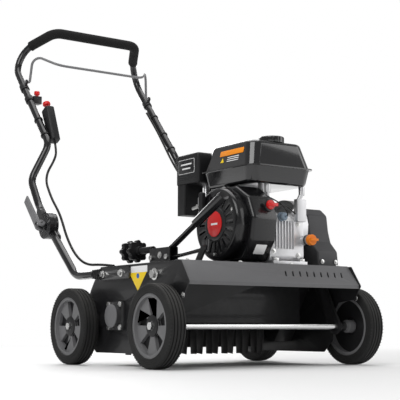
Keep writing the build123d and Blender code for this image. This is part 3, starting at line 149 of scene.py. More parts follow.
def makeGrainGroup():
    # fine height and gloss variation in the object's own coordinates
    tree = bpy.data.node_groups.new("surfaceGrain", "ShaderNodeTree")
    inputs = [
        ("NodeSocketFloat", "Grain Scale", 900.0),
        ("NodeSocketFloat", "Pore Scale", 0.0),
        ("NodeSocketFloat", "Pore Share", 0.0),
        ("NodeSocketFloat", "Rough Low", 0.3),
        ("NodeSocketFloat", "Rough High", 0.45),
        ("NodeSocketVector", "Stretch", (1, 1, 1)),
    ]
    entry, exit_ = groupSockets(tree, inputs, [("NodeSocketFloat", "Height"), ("NodeSocketFloat", "Roughness")])
    place = tree.nodes.new("ShaderNodeTexCoord").outputs["Object"]
    stretch = tree.nodes.new("ShaderNodeVectorMath")
    stretch.operation = "MULTIPLY"
    tree.links.new(place, stretch.inputs[0])
    tree.links.new(entry.outputs["Stretch"], stretch.inputs[1])
    fine = noiseNode(tree, entry.outputs["Grain Scale"], 4.0, stretch.outputs[0])
    pores = tree.nodes.new("ShaderNodeTexVoronoi")
    tree.links.new(entry.outputs["Pore Scale"], pores.inputs["Scale"])
    tree.links.new(place, pores.inputs["Vector"])
    poreDepth = mathNode(tree, "MULTIPLY", pores.outputs["Distance"], entry.outputs["Pore Share"])
    tree.links.new(mathNode(tree, "ADD", fine, poreDepth), exit_.inputs["Height"])
    broad = noiseNode(tree, 14.0, 3.0, place)
    spread = tree.nodes.new("ShaderNodeMapRange")
    tree.links.new(broad, spread.inputs["Value"])
    spread.inputs["From Min"].default_value = 0.3
    spread.inputs["From Max"].default_value = 0.7
    tree.links.new(entry.outputs["Rough Low"], spread.inputs["To Min"])
    tree.links.new(entry.outputs["Rough High"], spread.inputs["To Max"])
    tree.links.new(spread.outputs[0], exit_.inputs["Roughness"])
    return tree


def makeWearAndSheenGroup():
    # lighter edges, partly edge wear and partly a painted highlight along edges, and faint settled dust on faces that
    # look up
    tree = bpy.data.node_groups.new("edgeWearAndSheen", "ShaderNodeTree")
    inputs = [
        ("NodeSocketColor", "Colour", (0.1, 0.1, 0.1, 1)),
        ("NodeSocketColor", "Worn And Sheen Colour", (0.4, 0.4, 0.4, 1)),
        ("NodeSocketFloat", "Wear And Sheen", 0.3),
        ("NodeSocketFloat", "Dust", 0.05),
    ]
    entry, exit_ = groupSockets(tree, inputs, [("NodeSocketColor", "Colour")])
    place = tree.nodes.new("ShaderNodeTexCoord").outputs["Object"]
    geometry = tree.nodes.new("ShaderNodeNewGeometry")
    edge = tree.nodes.new("ShaderNodeMapRange")
    tree.links.new(geometry.outputs["Pointiness"], edge.inputs["Value"])
    edge.inputs["From Min"].default_value = 0.53
    edge.inputs["From Max"].default_value = 0.62
    broken = mathNode(tree, "MULTIPLY", edge.outputs[0], noiseNode(tree, 60.0, 5.0, place))
    wornAndSheen = mathNode(tree, "MULTIPLY", broken, entry.outputs["Wear And Sheen"])
    painted = mixColours(tree, wornAndSheen, entry.outputs["Colour"], entry.outputs["Worn And Sheen Colour"])
    facing = tree.nodes.new("ShaderNodeSeparateXYZ")
    tree.links.new(geometry.outputs["Normal"], facing.inputs[0])
    patchy = mathNode(tree, "MULTIPLY", facing.outputs["Z"], noiseNode(tree, 25.0, 6.0, place))
    settled = mathNode(tree, "MULTIPLY", patchy, entry.outputs["Dust"])
    dustColour = tree.nodes.new("ShaderNodeRGB")
    dustColour.outputs[0].default_value = (0.42, 0.4, 0.37, 1)
    tree.links.new(mixColours(tree, settled, painted, dustColour.outputs[0]), exit_.inputs["Colour"])
    return tree


grainGroup = makeGrainGroup()
wearAndSheenGroup = makeWearAndSheenGroup()

# each finish's edge amount lightens its edges: partly edge wear, partly a painted highlight along edges
finishSettings = {
    "plate_paint": dict(colour=(0.012, 0.012, 0.013), rough=(0.32, 0.42), coat=0.15, bump=0.06, wearAndSheen=0.12),
    "hood_paint": dict(colour=(0.12, 0.12, 0.124), rough=(0.42, 0.52), grain=1400, bump=0.10, wearAndSheen=0.12),
    "cover_paint": dict(colour=(0.055, 0.055, 0.058), rough=(0.42, 0.52), grain=1400, bump=0.10, wearAndSheen=0.12),
    "zinc_steel": dict(colour=(0.68, 0.68, 0.67), rough=(0.22, 0.36), metal=1, bump=0.04),
    "bright_axle": dict(colour=(0.82, 0.82, 0.82), rough=(0.12, 0.22), metal=1, stretch=(0.03, 1, 1), bump=0.03),
    "cast_black": dict(colour=(0.035, 0.035, 0.036), rough=(0.45, 0.6), grain=500, bump=0.25, wearAndSheen=0.2),
    "belt_rubber": dict(colour=(0.015, 0.015, 0.015), rough=(0.7, 0.85), bump=0.15),
    "cast_aluminium": dict(colour=(0.62, 0.62, 0.63), rough=(0.34, 0.5), metal=1, grain=700, bump=0.22),
    "engine_black": dict(colour=(0.006, 0.006, 0.007), rough=(0.2, 0.3), coat=0.4, bump=0.03, wearAndSheen=0.08),
    "tank_gloss": dict(colour=(0.004, 0.004, 0.005), rough=(0.1, 0.16), coat=1.0, bump=0.01, dust=0.02),
    "cleaner_plastic": dict(colour=(0.012, 0.012, 0.013), rough=(0.36, 0.48), grain=1600, bump=0.14),
    "tube_gloss": dict(colour=(0.006, 0.006, 0.007), rough=(0.16, 0.24), coat=0.6, bump=0.02, wearAndSheen=0.06),
    "cable_sheath": dict(colour=(0.01, 0.01, 0.01), rough=(0.4, 0.5), bump=0.05),
    "rotor_steel": dict(colour=(0.35, 0.35, 0.36), rough=(0.3, 0.48), metal=1, stretch=(1, 1, 0.08), bump=0.08),
    "orange_plastic": dict(colour=(0.75, 0.2, 0.01), rough=(0.35, 0.45), bump=0.05),
    "red_plastic": dict(colour=(0.6, 0.012, 0.012), rough=(0.18, 0.28), coat=0.3, bump=0.03),
    "knob_plastic": dict(colour=(0.01, 0.01, 0.011), rough=(0.38, 0.5), grain=1500, bump=0.14),
    "flap_rubber": dict(colour=(0.018, 0.018, 0.018), rough=(0.7, 0.85), bump=0.2),
    "grip_foam": dict(colour=(0.009, 0.009, 0.009), rough=(0.85, 0.95), pores=700, poreShare=0.6, bump=0.35),
    "bail_grey": dict(colour=(0.16, 0.16, 0.165), rough=(0.28, 0.38), coat=0.2, bump=0.03),
    "lever_grey": dict(colour=(0.14, 0.14, 0.145), rough=(0.35, 0.45), bump=0.08, wearAndSheen=0.2),
    "tyre_rubber": dict(colour=(0.014, 0.014, 0.014), rough=(0.6, 0.78), grain=1100, bump=0.2, dust=0.12),
    "rim_grey": dict(colour=(0.15, 0.15, 0.154), rough=(0.4, 0.5), grain=1500, bump=0.1),
    "labelWhite": dict(colour=(0.8, 0.8, 0.8), rough=(0.3, 0.38), bump=0.01),
    "labelOrange": dict(colour=(0.85, 0.27, 0.01), rough=(0.3, 0.38), bump=0.01),
    "labelYellow": dict(colour=(0.85, 0.6, 0.02), rough=(0.3, 0.38), bump=0.01),
    "labelBlue": dict(colour=(0.02, 0.12, 0.45), rough=(0.3, 0.38), bump=0.01),
    "sensorGrey": dict(colour=(0.2, 0.26, 0.32), rough=(0.3, 0.4), bump=0.05),
}


def makeFinish(name, spec):
    material = bpy.data.materials.new(name)
    material.use_nodes = True
    tree = material.node_tree
    shader = tree.nodes["Principled BSDF"]
    grain = tree.nodes.new("ShaderNodeGroup")
    grain.node_tree = grainGroup
    grain.inputs["Grain Scale"].default_value = spec.get("grain", 900.0)
    grain.inputs["Pore Scale"].default_value = spec.get("pores", 300.0)
    grain.inputs["Pore Share"].default_value = spec.get("poreShare", 0.0)
    grain.inputs["Rough Low"].default_value = spec["rough"][0]
    grain.inputs["Rough High"].default_value = spec["rough"][1]
    grain.inputs["Stretch"].default_value = spec.get("stretch", (1, 1, 1))
    wearAndSheen = tree.nodes.new("ShaderNodeGroup")
    wearAndSheen.node_tree = wearAndSheenGroup
    wearAndSheen.inputs["Colour"].default_value = (*spec["colour"], 1)
    # edges lighten towards this colour: partly edge wear, partly a painted highlight
    wearAndSheen.inputs["Worn And Sheen Colour"].default_value = (*[0.35 + 0.5 * c for c in spec["colour"]], 1)
    wearAndSheen.inputs["Wear And Sheen"].default_value = spec.get("wearAndSheen", 0.03)
    wearAndSheen.inputs["Dust"].default_value = spec.get("dust", 0.012)
    bump = tree.nodes.new("ShaderNodeBump")
    bump.inputs["Strength"].default_value = spec["bump"]
    bump.inputs["Distance"].default_value = 0.0006
    tree.links.new(grain.outputs["Height"], bump.inputs["Height"])
    tree.links.new(grain.outputs["Roughness"], shader.inputs["Roughness"])
    tree.links.new(wearAndSheen.outputs["Colour"], shader.inputs["Base Color"])
    tree.links.new(bump.outputs["Normal"], shader.inputs["Normal"])
    shader.inputs["Metallic"].default_value = spec.get("metal", 0.0)
    shader.inputs["Coat Weight"].default_value = spec.get("coat", 0.0)
    shader.inputs["Coat Roughness"].default_value = 0.08
    shader.inputs["Specular IOR Level"].default_value = spec.get("shine", 0.28)
    return material


finishes = {name: makeFinish(name, spec) for name, spec in finishSettings.items()}
slotOf = {row["node"]: row["material_slot"] for row in frame["record"]["subparts"]}
bodyOf = {n: body for body, names in frame["record"]["behaviour"]["bodies"].items() for n in names}


# ---- mesh helpers ----
def finishPiece(mesh, name, finish, body, sharp=32.0):
    mesh.materials.clear()
    mesh.materials.append(finishes[finish])
    for face in mesh.polygons:
        face.use_smooth = True
    mesh.set_sharp_from_angle(angle=math.radians(sharp))
    piece = bpy.data.objects.new(name, mesh)
    bpy.context.scene.collection.objects.link(piece)
    if body:
        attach(piece, body)
    return piece


def bakeModifiers(mesh, name, addModifiers):
    # the mesh with its modifiers worked out, as a plain mesh
    scratch = bpy.data.objects.new(name + "Scratch", mesh)
    bpy.context.scene.collection.objects.link(scratch)
    addModifiers(scratch)
    graph = bpy.context.evaluated_depsgraph_get()
    baked = bpy.data.meshes.new_from_object(scratch.evaluated_get(graph), depsgraph=graph)
    bpy.data.objects.remove(scratch)
    return baked


def bevelled(mesh, name, width, segments=2):
    def addBevel(scratch):
        bevel = scratch.modifiers.new("bevel", "BEVEL")
        bevel.width = width
        bevel.segments = segments
        bevel.limit_method = "ANGLE"
        bevel.angle_limit = math.radians(40)
        bevel.use_clamp_overlap = True
    return bakeModifiers(mesh, name, addBevel)


def meshFrom(bm, name):
    bmesh.ops.remove_doubles(bm, verts=bm.verts, dist=1e-6)
    bmesh.ops.recalc_face_normals(bm, faces=bm.faces)
    mesh = bpy.data.meshes.new(name)
    bm.to_mesh(mesh)
    bm.free()
    return mesh


def turned(axis):
    # turns the Z axis onto axis
    return Vector((0, 0, 1)).rotation_difference(Vector(axis)).to_matrix().to_4x4()


def revolved(name, profile, centre, axis, finish, body, segments=64, closed=False):
    # a turned part: profile is (radius, height along the axis)
    bm = bmesh.new()
    place = Matrix.Translation(centre) @ turned(axis)
    rings = []
    for radius, height in profile:
        if radius < 1e-7:
            rings.append([bm.verts.new(place @ Vector((0, 0, height)))])
            continue
        ring = []
        for index in range(segments):
            angle = 2 * math.pi * index / segments
            ring.append(bm.verts.new(place @ Vector((radius * math.cos(angle), radius * math.sin(angle), height))))
        rings.append(ring)
    pairs = list(zip(rings, rings[1:]))
    if closed:
        pairs.append((rings[-1], rings[0]))
    for first, second in pairs:
        for index in range(segments):
            after = (index + 1) % segments
            corners = [first[index % len(first)], first[after % len(first)]]
            corners += [second[after % len(second)], second[index % len(second)]]
            unique = list(dict.fromkeys(corners))
            if len(unique) > 2:
                bm.faces.new(unique)
    return finishPiece(meshFrom(bm, name), name, finish, body)


def roundedBlock(name, low, high, finish, body, width=0.001, turn=None):
    bm = bmesh.new()
    bmesh.ops.create_cube(bm, size=1.0)
    size = Vector(high) - Vector(low)
    centre = (Vector(high) + Vector(low)) / 2
    for vert in bm.verts:
        local = Vector([a * b for a, b in zip(vert.co, size)])
        vert.co = centre + (turn @ local if turn else local)
    mesh = bevelled(meshFrom(bm, name), name, width, 3)
    return finishPiece(mesh, name, finish, body)


def plate(name, outline, origin, across, up, thickness, finish, body, edge=0.0002):
    # a flat patch with its outline in a plane, standing thickness proud of it
    across = Vector(across).normalized()
    up = Vector(up).normalized()
    out = across.cross(up)
    bm = bmesh.new()
    low = [bm.verts.new(Vector(origin) + across * a + up * b) for a, b in outline]
    high = [bm.verts.new(v.co + out * thickness) for v in low]
    bm.faces.new(low[::-1])
    bm.faces.new(high)
    for index in range(len(low)):
        after = (index + 1) % len(low)
        bm.faces.new([low[index], low[after], high[after], high[index]])
    mesh = bevelled(meshFrom(bm, name), name, edge, 2)
    return finishPiece(mesh, name, finish, body)


def rectangle(width, height, corner=0.0, centre=(0, 0)):
    # outline of a rectangle with round corners
    if corner <= 0:
        corner = 1e-4
    points = []
    for quarter, (sx, sy) in enumerate(((1, 1), (-1, 1), (-1, -1), (1, -1))):
        for step in range(5):
            angle = math.radians(90 * quarter + 22.5 * step)
            x = centre[0] + sx * (width / 2 - corner) + corner * math.cos(angle)
            y = centre[1] + sy * (height / 2 - corner) + corner * math.sin(angle)
            points.append((x, y))
    return points


def oval(halfWidth, halfHeight, count=48):
    turns = [2 * math.pi * i / count for i in range(count)]
    return [(halfWidth * math.cos(t), halfHeight * math.sin(t)) for t in turns]


def tubeMesh(name, points, radius, resolution=10, sides=5):
    # a round line along a smooth curve through the points' control polygon
    curve = bpy.data.curves.new(name, "CURVE")
    curve.dimensions = "3D"
    curve.bevel_depth = radius
    curve.bevel_resolution = sides
    curve.resolution_u = resolution
    curve.use_fill_caps = True
    spline = curve.splines.new("NURBS")
    spline.points.add(len(points) - 1)
    for point, place in zip(spline.points, points):
        point.co = (*place, 1)
    spline.order_u = 3
    spline.use_endpoint_u = True
    scratch = bpy.data.objects.new(name + "Scratch", curve)
    bpy.context.scene.collection.objects.link(scratch)
    graph = bpy.context.evaluated_depsgraph_get()
    mesh = bpy.data.meshes.new_from_object(scratch.evaluated_get(graph), depsgraph=graph)
    bpy.data.objects.remove(scratch)
    bm = bmesh.new()
    bm.from_mesh(mesh)
    return meshFrom(bm, name)


def hose(name, points, radius, finish, body, **kind):
    return finishPiece(tubeMesh(name, points, radius, **kind), name, finish, body)


# ---- geometry node trees for what repeats ----
def newTree(name, inputs):
    tree = bpy.data.node_groups.new(name, "GeometryNodeTree")
    tree.interface.new_socket("Geometry", in_out="INPUT", socket_type="NodeSocketGeometry")
    for kind, label in inputs:
        tree.interface.new_socket(label, in_out="INPUT", socket_type=kind)
    tree.interface.new_socket("Geometry", in_out="OUTPUT", socket_type="NodeSocketGeometry")
    return tree, tree.nodes.new("NodeGroupInput"), tree.nodes.new("NodeGroupOutput")


def closeTree(tree, entry, exit_, geometry):
    realize = tree.nodes.new("GeometryNodeRealizeInstances")
    paint = tree.nodes.new("GeometryNodeSetMaterial")
    tree.links.new(geometry, realize.inputs["Geometry"])
    tree.links.new(realize.outputs["Geometry"], paint.inputs["Geometry"])
    tree.links.new(entry.outputs["Finish"], paint.inputs["Material"])
    tree.links.new(paint.outputs["Geometry"], exit_.inputs["Geometry"])


def makeScrewTree():
    # a hex head on a washer at every point, looking along the point's facing attribute
    inputs = [("NodeSocketFloat", "Head Radius"), ("NodeSocketFloat", "Head Height")]
    inputs += [("NodeSocketMaterial", "Finish")]
    tree, entry, exit_ = newTree("screwRow", inputs)
    join = tree.nodes.new("GeometryNodeJoinGeometry")
    for sides, wide, tall in ((6, 1.0, 1.0), (20, 1.45, 0.3), (12, 0.45, 1.25)):
        head = tree.nodes.new("GeometryNodeMeshCylinder")
        head.inputs["Vertices"].default_value = sides
        for label, source, share in (("Radius", "Head Radius", wide), ("Depth", "Head Height", tall)):
            scale = tree.nodes.new("ShaderNodeMath")
            scale.operation = "MULTIPLY"
            scale.inputs[1].default_value = share
            tree.links.new(entry.outputs[source], scale.inputs[0])
            tree.links.new(scale.outputs[0], head.inputs[label])
        lift = tree.nodes.new("GeometryNodeTransform")
        rise = tree.nodes.new("ShaderNodeCombineXYZ")
        tree.links.new(head.outputs["Mesh"], lift.inputs["Geometry"])
        half = tree.nodes.new("ShaderNodeMath")
        half.operation = "MULTIPLY"
        half.inputs[1].default_value = tall / 2
        tree.links.new(entry.outputs["Head Height"], half.inputs[0])
        tree.links.new(half.outputs[0], rise.inputs["Z"])
        tree.links.new(rise.outputs[0], lift.inputs["Translation"])
        tree.links.new(lift.outputs[0], join.inputs[0])
    facing = tree.nodes.new("GeometryNodeInputNamedAttribute")
    facing.data_type = "FLOAT_VECTOR"
    facing.inputs["Name"].default_value = "facing"
    align = tree.nodes.new("FunctionNodeAlignRotationToVector")
    align.axis = "Z"
    tree.links.new(facing.outputs["Attribute"], align.inputs["Vector"])
    place = tree.nodes.new("GeometryNodeInstanceOnPoints")
    tree.links.new(entry.outputs["Geometry"], place.inputs["Points"])
    tree.links.new(join.outputs[0], place.inputs["Instance"])
    tree.links.new(align.outputs["Rotation"], place.inputs["Rotation"])
    closeTree(tree, entry, exit_, place.outputs["Instances"])
    return tree


def makeRingTree():
    # blocks spaced evenly round an axis
    inputs = [("NodeSocketInt", "Count"), ("NodeSocketFloat", "Radius"), ("NodeSocketVector", "Block")]
    inputs += [("NodeSocketVector", "Centre"), ("NodeSocketRotation", "Turn"), ("NodeSocketMaterial", "Finish")]
    tree, entry, exit_ = newTree("ringOfRibs", inputs)
    circle = tree.nodes.new("GeometryNodeMeshCircle")
    tree.links.new(entry.outputs["Count"], circle.inputs["Vertices"])
    tree.links.new(entry.outputs["Radius"], circle.inputs["Radius"])
    cube = tree.nodes.new("GeometryNodeMeshCube")
    tree.links.new(entry.outputs["Block"], cube.inputs["Size"])
    align = tree.nodes.new("FunctionNodeAlignRotationToVector")
    align.axis = "X"
    align.pivot_axis = "Z"
    where = tree.nodes.new("GeometryNodeInputPosition")
    tree.links.new(where.outputs[0], align.inputs["Vector"])
    place = tree.nodes.new("GeometryNodeInstanceOnPoints")
    tree.links.new(circle.outputs["Mesh"], place.inputs["Points"])
    tree.links.new(cube.outputs["Mesh"], place.inputs["Instance"])
    tree.links.new(align.outputs["Rotation"], place.inputs["Rotation"])
    move = tree.nodes.new("GeometryNodeTransform")
    tree.links.new(place.outputs["Instances"], move.inputs["Geometry"])
    tree.links.new(entry.outputs["Centre"], move.inputs["Translation"])
    tree.links.new(entry.outputs["Turn"], move.inputs["Rotation"])
    closeTree(tree, entry, exit_, move.outputs[0])
    return tree


def makeRowTree():
    # equal blocks along a straight line
    inputs = [("NodeSocketInt", "Count"), ("NodeSocketVector", "Start"), ("NodeSocketVector", "Step")]
    inputs += [("NodeSocketVector", "Block"), ("NodeSocketRotation", "Lean"), ("NodeSocketMaterial", "Finish")]
    tree, entry, exit_ = newTree("rowOfRibs", inputs)
    line = tree.nodes.new("GeometryNodeMeshLine")
    line.mode = "OFFSET"
    tree.links.new(entry.outputs["Count"], line.inputs["Count"])
    tree.links.new(entry.outputs["Start"], line.inputs["Start Location"])
    tree.links.new(entry.outputs["Step"], line.inputs["Offset"])
    cube = tree.nodes.new("GeometryNodeMeshCube")
    tree.links.new(entry.outputs["Block"], cube.inputs["Size"])
    place = tree.nodes.new("GeometryNodeInstanceOnPoints")
    tree.links.new(line.outputs["Mesh"], place.inputs["Points"])
    tree.links.new(cube.outputs["Mesh"], place.inputs["Instance"])
    tree.links.new(entry.outputs["Lean"], place.inputs["Rotation"])
    closeTree(tree, entry, exit_, place.outputs["Instances"])
    return tree


screwTree = makeScrewTree()
ringTree = makeRingTree()
rowTree = makeRowTree()


def runTree(tree, name, finish, body, values, source=None, round_=0.0):
    mesh = source or bpy.data.meshes.new(name + "Seed")

    def addNodes(scratch):
        modifier = scratch.modifiers.new("nodes", "NODES")
        modifier.node_group = tree
        values["Finish"] = finishes[finish]
        for item in tree.interface.items_tree:
            if item.in_out == "INPUT" and item.name in values:
                modifier[item.identifier] = values[item.name]
    baked = bakeModifiers(mesh, name, addNodes)
    if round_:
        baked = bevelled(baked, name, round_, 2)
    return finishPiece(baked, name, finish, body)


def screws(name, points, facing, body, radius=0.0045, height=0.0035, finish="zinc_steel"):
    mesh = bpy.data.meshes.new(name + "Points")
    mesh.from_pydata([tuple(p) for p in points], [], [])
    attribute = mesh.attributes.new("facing", "FLOAT_VECTOR", "POINT")
    for item in attribute.data:
        item.vector = facing
    values = {"Head Radius": radius, "Head Height": height}
    return runTree(screwTree, name, finish, body, values, mesh, 0.0003)


def ribRing(name, count, radius, block, centre, axis, finish, body, round_=0.0004):
    turn = Vector((0, 0, 1)).rotation_difference(Vector(axis)).to_euler()
    values = {"Count": count, "Radius": radius, "Block": block, "Centre": tuple(centre), "Turn": tuple(turn)}
    return runTree(ringTree, name, finish, body, values, None, round_)


def ribRow(name, count, start, step, block, finish, body, lean=(0, 0, 0), round_=0.0004):
    values = {"Count": count, "Start": start, "Step": step, "Block": block, "Lean": lean}
    return runTree(rowTree, name, finish, body, values, None, round_)


# ---- every CAD node gets rounded edges and its finish ----
print("stage: finished copies of the CAD nodes")
edgeSettings = {
    "default": 0.0006,
    "fuel_tank_top": 0.0005, "fuel_tank_base": 0.0005,
    "side_plate_left": 0.0007, "side_plate_right": 0.0007, "front_hood": 0.0007,
    "deck_plate": 0.0007, "lower_handles": 0.001, "crankcase": 0.0015,
    "upper_handle": 0.0, "bail": 0.0, "foam_grip": 0.002,
    "fold_lever_left": 0.0009, "fold_lever_right": 0.0009, "rotor_blades": 0.0004,
    "depth_knob": 0.0016, "rim_front_left": 0.0012, "rim_front_right": 0.0012,
    "rim_rear_left": 0.0012, "rim_rear_right": 0.0012, "lift_lever": 0.003,
}
replacedByHand = {"control_cables_upper", "control_cables_lower"}
replacedByHand |= {f"tyre_{end}_{side}" for end in ("front", "rear") for side in ("left", "right")}


def dressNode(node):
    bm = bmesh.new()
    bm.from_mesh(frame["nodes"][node].data)
    bmesh.ops.remove_doubles(bm, verts=bm.verts, dist=1e-6)
    bmesh.ops.dissolve_limit(bm, angle_limit=math.radians(0.4), verts=bm.verts, edges=bm.edges)
    mesh = bpy.data.meshes.new(node + "Finished")
    bm.to_mesh(mesh)
    bm.free()
    width = edgeSettings.get(node, edgeSettings["default"])
    if width:
        mesh = bevelled(mesh, node, width)
    piece = finishPiece(mesh, node + "Finished", slotOf[node], bodyOf[node], 30.0)
    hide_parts(node)
    return piece


for node in sorted(frame["nodes"]):
    if node not in replacedByHand:
        dressNode(node)

# ---- wheels ----
print("stage: wheels")
tyreSettings = {
    "bead": 0.0, "shoulder": 0.007, "grooves": (-0.0135, -0.0045, 0.0045, 0.0135),
    "grooveHalf": 0.0015, "grooveDepth": 0.0025, "lip": 0.0005,
    "sideRings": (0.081, 0.086, 0.0905), "ringHeight": 0.0006, "lugs": 72,
}


def tyreProfile(inner, outer, half):
    s = tyreSettings
    corner = s["shoulder"]
    side = [(inner, -half + 0.001), (inner + 0.001, -half)]
    for radius in s["sideRings"]:
        side += [(radius - 0.0012, -half), (radius - 0.0005, -half - s["ringHeight"] + 0.0006)]
        side += [(radius, -half + s["ringHeight"]), (radius + 0.0007, -half)]
    for step in range(7):
        angle = math.radians(15 * step)
        side.append((outer - corner + corner * math.sin(angle), -half + corner - corner * math.cos(angle)))
    tread = []
    for groove in s["grooves"]:
        wide, lip, low = s["grooveHalf"], s["lip"], outer - s["grooveDepth"]
        tread += [(outer, groove - wide - lip), (outer - lip, groove - wide), (low, groove - wide + lip / 2)]
        tread += [(low, groove + wide - lip / 2), (outer - lip, groove + wide), (outer, groove + wide + lip)]
    return side + tread + [(r, -h) for r, h in side[::-1]]


for end in ("front", "rear"):
    for side in ("left", "right"):
        node = f"tyre_{end}_{side}"
        body = f"wheel_{end}_{side}"
        low, high = [Vector(c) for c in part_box(node)]
        centre = (low + high) / 2
        outer = (high.z - low.z) / 2
        half = (high.x - low.x) / 2
        sign = -1 if side == "left" else 1
        profile = tyreProfile(0.0761, outer, half)
        tyre = revolved(f"tyreBody_{end}_{side}", profile, centre, (1, 0, 0), "tyre_rubber", body, 112, True)
        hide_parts(node)
        for across in (-1, 1):
            place = centre + Vector((across * (half - 0.0022), 0, 0))
            ribRing(f"tyreLugs_{end}_{side}_{across + 1}", tyreSettings["lugs"], outer - 0.0032,
                    (0.004, 0.0016, 0.003), place, (1, 0, 0), "tyre_rubber", body)
        face = centre.x + sign * 0.0056
        hub = [(0.0185, 0), (0.026, 0), (0.0265, 0.0012), (0.0215, 0.0042), (0.0185, 0.005)]
        revolved(f"hubRing_{end}_{side}", hub, (face - sign * 0.0008, centre.y, centre.z), (sign, 0, 0),
                 "knob_plastic", body, 48, True)
        # a black disc at the wheel's middle fills the rim windows: painted shade, so the openings read dark
        shadeDisc = [(0.020, -0.00075), (0.0675, -0.00075), (0.0675, 0.00075), (0.020, 0.00075)]
        revolved(f"windowShadeDisc_{end}_{side}", shadeDisc, centre, (sign, 0, 0), "knob_plastic", body, 64, True)
        cap = [(0.0118, 0), (0.0255, 0), (0.0248, 0.0018), (0.0185, 0.0034), (0.0118, 0.0036)]
        revolved(f"hubCap_{end}_{side}", cap, (centre.x + sign * 0.0102, centre.y, centre.z), (sign, 0, 0),
                 "knob_plastic", body, 48, True)
        step = [(0.0662, 0), (0.0688, 0), (0.0688, 0.0042), (0.0672, 0.0048), (0.0662, 0.0042)]
        revolved(f"rimStep_{end}_{side}", step, (face - sign * 0.001, centre.y, centre.z), (sign, 0, 0),
                 "rim_grey", body, 80, True)

# ---- engine ----
print("stage: engine details")
recoilLow, recoilHigh = [Vector(c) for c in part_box("recoil_cover")]
engineAxis = Vector((0, (recoilLow.y + recoilHigh.y) / 2, (recoilLow.z + recoilHigh.z) / 2))
badgeSettings = {"half": (0.031, 0.033), "proud": 0.0022, "bar": (0.028, 0.005)}
badgeAt = Vector((recoilLow.x - 0.0002, engineAxis.y, engineAxis.z))
revolved("recoilBoss", [(0, 0), (0.043, 0), (0.0425, 0.0014), (0.037, 0.0022), (0, 0.0022)],
         badgeAt, (-1, 0, 0), "engine_black", "chassis", 72)
badgeAt.x -= 0.0021
plate("recoilBadge", oval(*badgeSettings["half"]), badgeAt, (0, -1, 0), (0, 0, 1),
      badgeSettings["proud"], "red_plastic", "chassis", 0.0007)
badgeAt.x -= badgeSettings["proud"] - 0.0002
plate("recoilBadgeBar", rectangle(*badgeSettings["bar"], 0.001), badgeAt, (0, -1, 0), (0, 0, 1),
      0.0004, "labelWhite", "chassis", 0.0001)
ribRing("recoilOuterRibs", 40, 0.0835, (0.006, 0.0022, 0.004), (recoilLow.x + 0.004, engineAxis.y, engineAxis.z),
        (-1, 0, 0), "engine_black", "chassis")
coverBolts = []
for turn in (35, 155, 275):
    a = math.radians(turn)
    coverBolts.append((recoilLow.x + 0.0025, engineAxis.y + 0.0775 * math.cos(a), engineAxis.z + 0.0775 * math.sin(a)))
screws("recoilScrews", coverBolts, (-1, 0, 0), "chassis")

gripLow, gripHigh = [Vector(c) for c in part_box("recoil_grip")]
pullY = (gripLow.y + gripHigh.y) / 2
pullZ = (gripLow.z + gripHigh.z) / 2
ropeSettings = {"radius": 0.002, "rings": 60}
ropeBm = bmesh.new()
previous = None
for index in range(ropeSettings["rings"] + 1):   # close rings along the rope
    x = gripHigh.x + (gripLow.x + 0.008 - gripHigh.x) * index / ropeSettings["rings"]
    ring = []
    for corner in range(12):
        a = 2 * math.pi * corner / 12
        r = ropeSettings["radius"]
        ring.append(ropeBm.verts.new((x, pullY + r * math.cos(a), pullZ + r * math.sin(a))))
    if previous:
        for corner in range(12):
            after = (corner + 1) % 12
            ropeBm.faces.new([previous[corner], previous[after], ring[after], ring[corner]])
    else:
        ropeBm.faces.new(ring[::-1])
    previous = ring
ropeBm.faces.new(previous)
rope = finishPiece(meshFrom(ropeBm, "recoilRope"), "recoilRope", "labelWhite", None)
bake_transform(rope)

shroudLow, shroudHigh = [Vector(c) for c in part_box("fan_shroud")]
caseLow, caseHigh = [Vector(c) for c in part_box("crankcase")]
headLow, headHigh = [Vector(c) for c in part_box("cylinder_head")]
tankLow, tankHigh = [Vector(c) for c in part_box("fuel_tank_top")]
baseLow, baseHigh = [Vector(c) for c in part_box("fuel_tank_base")]

# the drafted left face of the tank carries a plain orange band with a small triangle
labelSettings = {"band": (0.104, 0.015), "bar": (0.050, 0.0022), "aboveSeam": 0.036}
draft = math.atan2(0.018, 0.069)
tankUp = Vector((math.sin(draft), 0, math.cos(draft)))
labelAt = Vector((tankLow.x + 0.006, tankLow.y + 0.104, tankLow.z)) + tankUp * labelSettings["aboveSeam"]
labelAt -= Vector((math.cos(draft), 0, -math.sin(draft))) * 0.0003
plate("tankBand", rectangle(*labelSettings["band"], 0.003), labelAt + tankUp * 0.009, (0, -1, 0), tankUp, 0.0007,
      "labelOrange", "chassis")
triangle = [(-0.044, -0.0165), (-0.029, -0.0165), (-0.0365, -0.003)]
plate("tankTriangle", triangle, labelAt, (0, -1, 0), tankUp, 0.0004, "labelYellow", "chassis", 0.0001)
for index in range(3):
    place = labelAt + Vector((0, -0.010, 0)) + tankUp * (-0.0045 - 0.0055 * index)
    plate(f"tankBar{index}", rectangle(*labelSettings["bar"], 0.0005), place, (0, -1, 0), tankUp, 0.0004,
          "labelWhite", "chassis", 0.0001)

capLow, capHigh = [Vector(c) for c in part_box("fuel_cap")]
capAt = (capLow + capHigh) / 2
revolved("capDish", [(0, 0), (0.021, 0), (0.0205, 0.0018), (0.017, 0.0022), (0.0155, 0.0008), (0, 0.0008)],
         (capAt.x, capAt.y, capHigh.z - 0.0003), (0, 0, 1), "tank_gloss", "tank_cap", 48)
ribRing("capGrips", 44, 0.0292, (0.0012, 0.0014, 0.0095), (capAt.x, capAt.y, capAt.z - 0.001), (0, 0, 1),
        "tank_gloss", "tank_cap", 0.0002)

